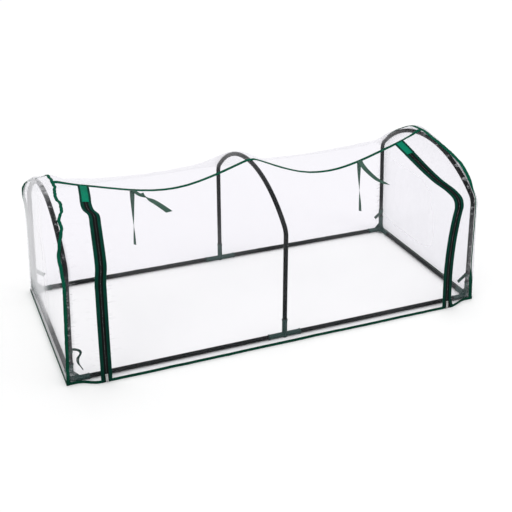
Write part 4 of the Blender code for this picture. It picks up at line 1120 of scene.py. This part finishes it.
OUTER_RUN = {
    LEFT: ((0.0, -0.510), (0.05, -0.500), (0.085, -0.483), (0.115, -0.461), (0.155, -0.440), (0.20, -0.418)),
    RIGHT: ((0.0, 0.525), (0.04, 0.514), (0.10, 0.507), (0.16, 0.512), (0.197, 0.525), (0.23, 0.546)),
}
TIE = tape_finish("green_tie_tape", (0.026, 0.062, 0.048), (0.080, 0.155, 0.120), 0.75)


def hanging(end):
    """A strand that hangs from the ridge and turns over, so that it shows its edge below the middle."""
    def at(fall, across, lift):
        share = fall / TIE_DROP
        turn = INNER_TURN * ease((share - INNER_TURN_FIRST) / INNER_TURN_RUN)
        wide = across * (1 - INNER_NARROW * ease(share * 2.5))
        x = TIE_PLACE[end] + wide * math.cos(turn) - lift * math.sin(turn) + TIE_LEAN[end] * share
        y = COVER_SHIFT + wide * math.sin(turn) - lift * math.cos(turn) + INNER_SWAY * math.sin(share * 5)
        return Vector((x, y, INNER_SEAT[end] - fall))
    return at


def lying(end):
    """A strand that lies on the door. The left one turns over, and the right one ends in a point."""
    def at(fall, across, lift):
        share, line = fall / OUTER_FALL[end], OUTER_RUN[end]
        twist = OUTER_SWAY * math.sin(share * 4.0)
        if end == LEFT:
            twist = math.pi * ease((share - TWIST_FIRST) / TWIST_RUN)
        slope = (through(line, fall + SLOPE_STEP) - through(line, fall - SLOPE_STEP)) / (2 * SLOPE_STEP)
        stretch = math.sqrt(1 + slope ** 2)
        wide = across * (1 + OUTER_SPREAD[end] * ease(share * 2))
        wide *= 1 - OUTER_POINT[end] * ease((share - 1 + POINT_LENGTH) / POINT_LENGTH)
        rise = OUTER_RISE + OUTER_ARCH * math.sin(math.pi * min(1.0, share))
        rise += TWIST_RISE * abs(math.sin(twist))
        flat = wide * math.cos(twist)
        return cover_at(through(line, fall) + flat / stretch, OUTER_START + fall - flat * slope / stretch,
                        rise + lift * math.cos(twist) + wide * math.sin(twist) * TWIST_DEPTH)
    return at


for end, side in SIDES.items():
    for strand, fall, at in (("inner", TIE_DROP, hanging(end)), ("outer", OUTER_FALL[end], lying(end))):
        tie = f"{strand}_tie_{side}"
        tape(f"{strand}_tie_tape_{side}", run(0.0, fall), at, TIE_HALF, TIE, TIE_LIFT, tie, tie)

LOOP_SWEEP, LOOP_GAP, LOOP_STEPS, TAIL_STEPS = math.radians(320), 0.0011, 24, 18
LOOP_OUT, ASIDE_RUN, TAIL_WAVES = TUBE_RADIUS + LOOP_GAP, 0.3, 8.0
CURLED_TIE = {"half": 0.006, "knot": 0.136, "tail": 0.100, "drop": math.radians(84), "turn_in": 0.45,
              "bend": 0.007, "aside": 0.026, "twist": 1.2}
PLAIN_TIE = {"half": 0.009, "knot": 0.114, "tail": 0.051, "drop": math.radians(38), "turn_in": 0.2,
             "bend": 0.0, "aside": 0.0, "twist": 0.0}
# The corner ties use a darker, greyer copy of the green tie tape: painted shade for the shadow they hang in.
SHADED_CORNER_TIE = tape_finish("shaded_tie_tape", (0.012, 0.034, 0.028), (0.050, 0.095, 0.080), 0.8)


def knotted(end, y, form):
    """A tie whose way runs round the upright from -1 to 0, then along its tail from 0 to 1."""
    axis = Vector((end * hoop_x(form["knot"]), y + COVER_SHIFT, form["knot"]))
    turning = math.copysign(1, y) * end
    front, inwards, up = Vector((0, -math.copysign(1, y), 0)), Vector((-end, 0, 0)), Vector((0, 0, 1))

    def at(way, across, lift):
        if way < 0:
            away = Matrix.Rotation(-turning * way * LOOP_SWEEP, 3, "Z") @ front
            return axis + away * (LOOP_OUT + lift) + up * across
        drop = form["drop"] * ease(way / form["turn_in"])
        forward = inwards * math.cos(drop) - up * math.sin(drop)
        upper = up * math.cos(drop) + inwards * math.sin(drop)
        aside = form["aside"] * ease(way / ASIDE_RUN) + form["bend"] * math.sin(way * TAIL_WAVES) * way
        root = axis + front * (LOOP_OUT + lift) + inwards * aside
        turn = Matrix.Rotation(form["twist"] * way, 3, forward)
        return root + forward * way * form["tail"] + turn @ upper * across
    return at


tie_run = spread(-1, 0, LOOP_STEPS)[:-1] + spread(0, 1, TAIL_STEPS)
for place, y in LONG_SIDES.items():
    for end, side in SIDES.items():
        form = CURLED_TIE if (place, end) == ("front", LEFT) else PLAIN_TIE
        tape(f"corner_tie_tape_{place}_{side}", tie_run, knotted(end, y, form), form["half"], SHADED_CORNER_TIE,
             (0.0, TIE_THICKNESS), node=f"corner_tie_{place}_{side}")

# Studio: a pale floor that keeps the object's shadow, even light from all round, a broad soft sun from
# above and to the left, a weak lamp from the right, and a camera where the photograph was taken from.
FLOOR_HALF, FLOOR_LEVEL = 9.0, -0.0008


def pale_floor():
    made, tree, shader, coords = new_finish("pale_floor")
    mottle = speckle(tree, coords["Object"], 2.0)
    seen = new_node(tree, "ShaderNodeLightPath").outputs["Is Camera Ray"]
    set_sockets(tree, shader, {
        "Base Color": mix_colour(tree, mottle, (0.93, 0.93, 0.935), (0.95, 0.95, 0.95)),
        "Roughness": 0.9, "Specular IOR Level": 0.0, "Emission Strength": 1.0,
        "Emission Color": mix_colour(tree, seen, (0, 0, 0), (0.035, 0.035, 0.035))})
    return made


corners = [(x * FLOOR_HALF, y * FLOOR_HALF, FLOOR_LEVEL) for x, y in ((-1, -1), (1, -1), (1, 1), (-1, 1))]
floor = add_piece("floor", corners, [(0, 1, 2, 3)], pale_floor())

world = bpy.data.worlds.new("soft_studio")
bpy.context.scene.world = world
world.use_nodes = True
sky = world.node_tree
sky.nodes.clear()
path = new_node(sky, "ShaderNodeLightPath").outputs
seen = reckon(sky, "MAXIMUM", path["Is Camera Ray"], path["Is Glossy Ray"])
seen = reckon(sky, "MAXIMUM", seen, path["Is Transmission Ray"])
ambient = new_node(sky, "ShaderNodeBackground", {"Color": (1, 1, 1, 1), "Strength": 0.92})
white = new_node(sky, "ShaderNodeBackground", {"Color": (1, 1, 1, 1), "Strength": 1.0})
either = new_node(sky, "ShaderNodeMixShader", {0: seen, 1: ambient.outputs[0], 2: white.outputs[0]})
new_node(sky, "ShaderNodeOutputWorld", {"Surface": either.outputs[0]})


def stand(name, data, place, aim):
    """A lamp put in its place and turned along a direction."""
    made = bpy.data.objects.new(name, data)
    made.location = place
    made.rotation_euler = Vector(aim).to_track_quat("-Z", "Y").to_euler()
    bpy.context.scene.collection.objects.link(made)


fill = bpy.data.lights.new("fill_lamp", "AREA")
fill.shape, fill.size, fill.energy = "DISK", 1.8, 8
stand("fill_lamp", fill, (2.6, -2.2, 2.2), (-2.4, 2.2, -1.9))
key = bpy.data.lights.new("key_lamp", "SUN")
key.energy, key.angle = 0.45, math.radians(28)
stand("key_lamp", key, (0, 0, 0), (0.45, 0.30, -1.0))

camera = bpy.data.cameras.new("photo_camera")
camera.sensor_width, camera.lens = 36.0, 63.42
camera_item = bpy.data.objects.new("photo_camera", camera)
camera_item.location = (-1.32315, -3.31370, 1.95323)
camera_item.rotation_euler = (math.radians(63.8465), 0, math.radians(-22.139))
bpy.context.scene.collection.objects.link(camera_item)
bpy.context.scene.camera = camera_item
bpy.context.scene.view_settings.view_transform = "Standard"
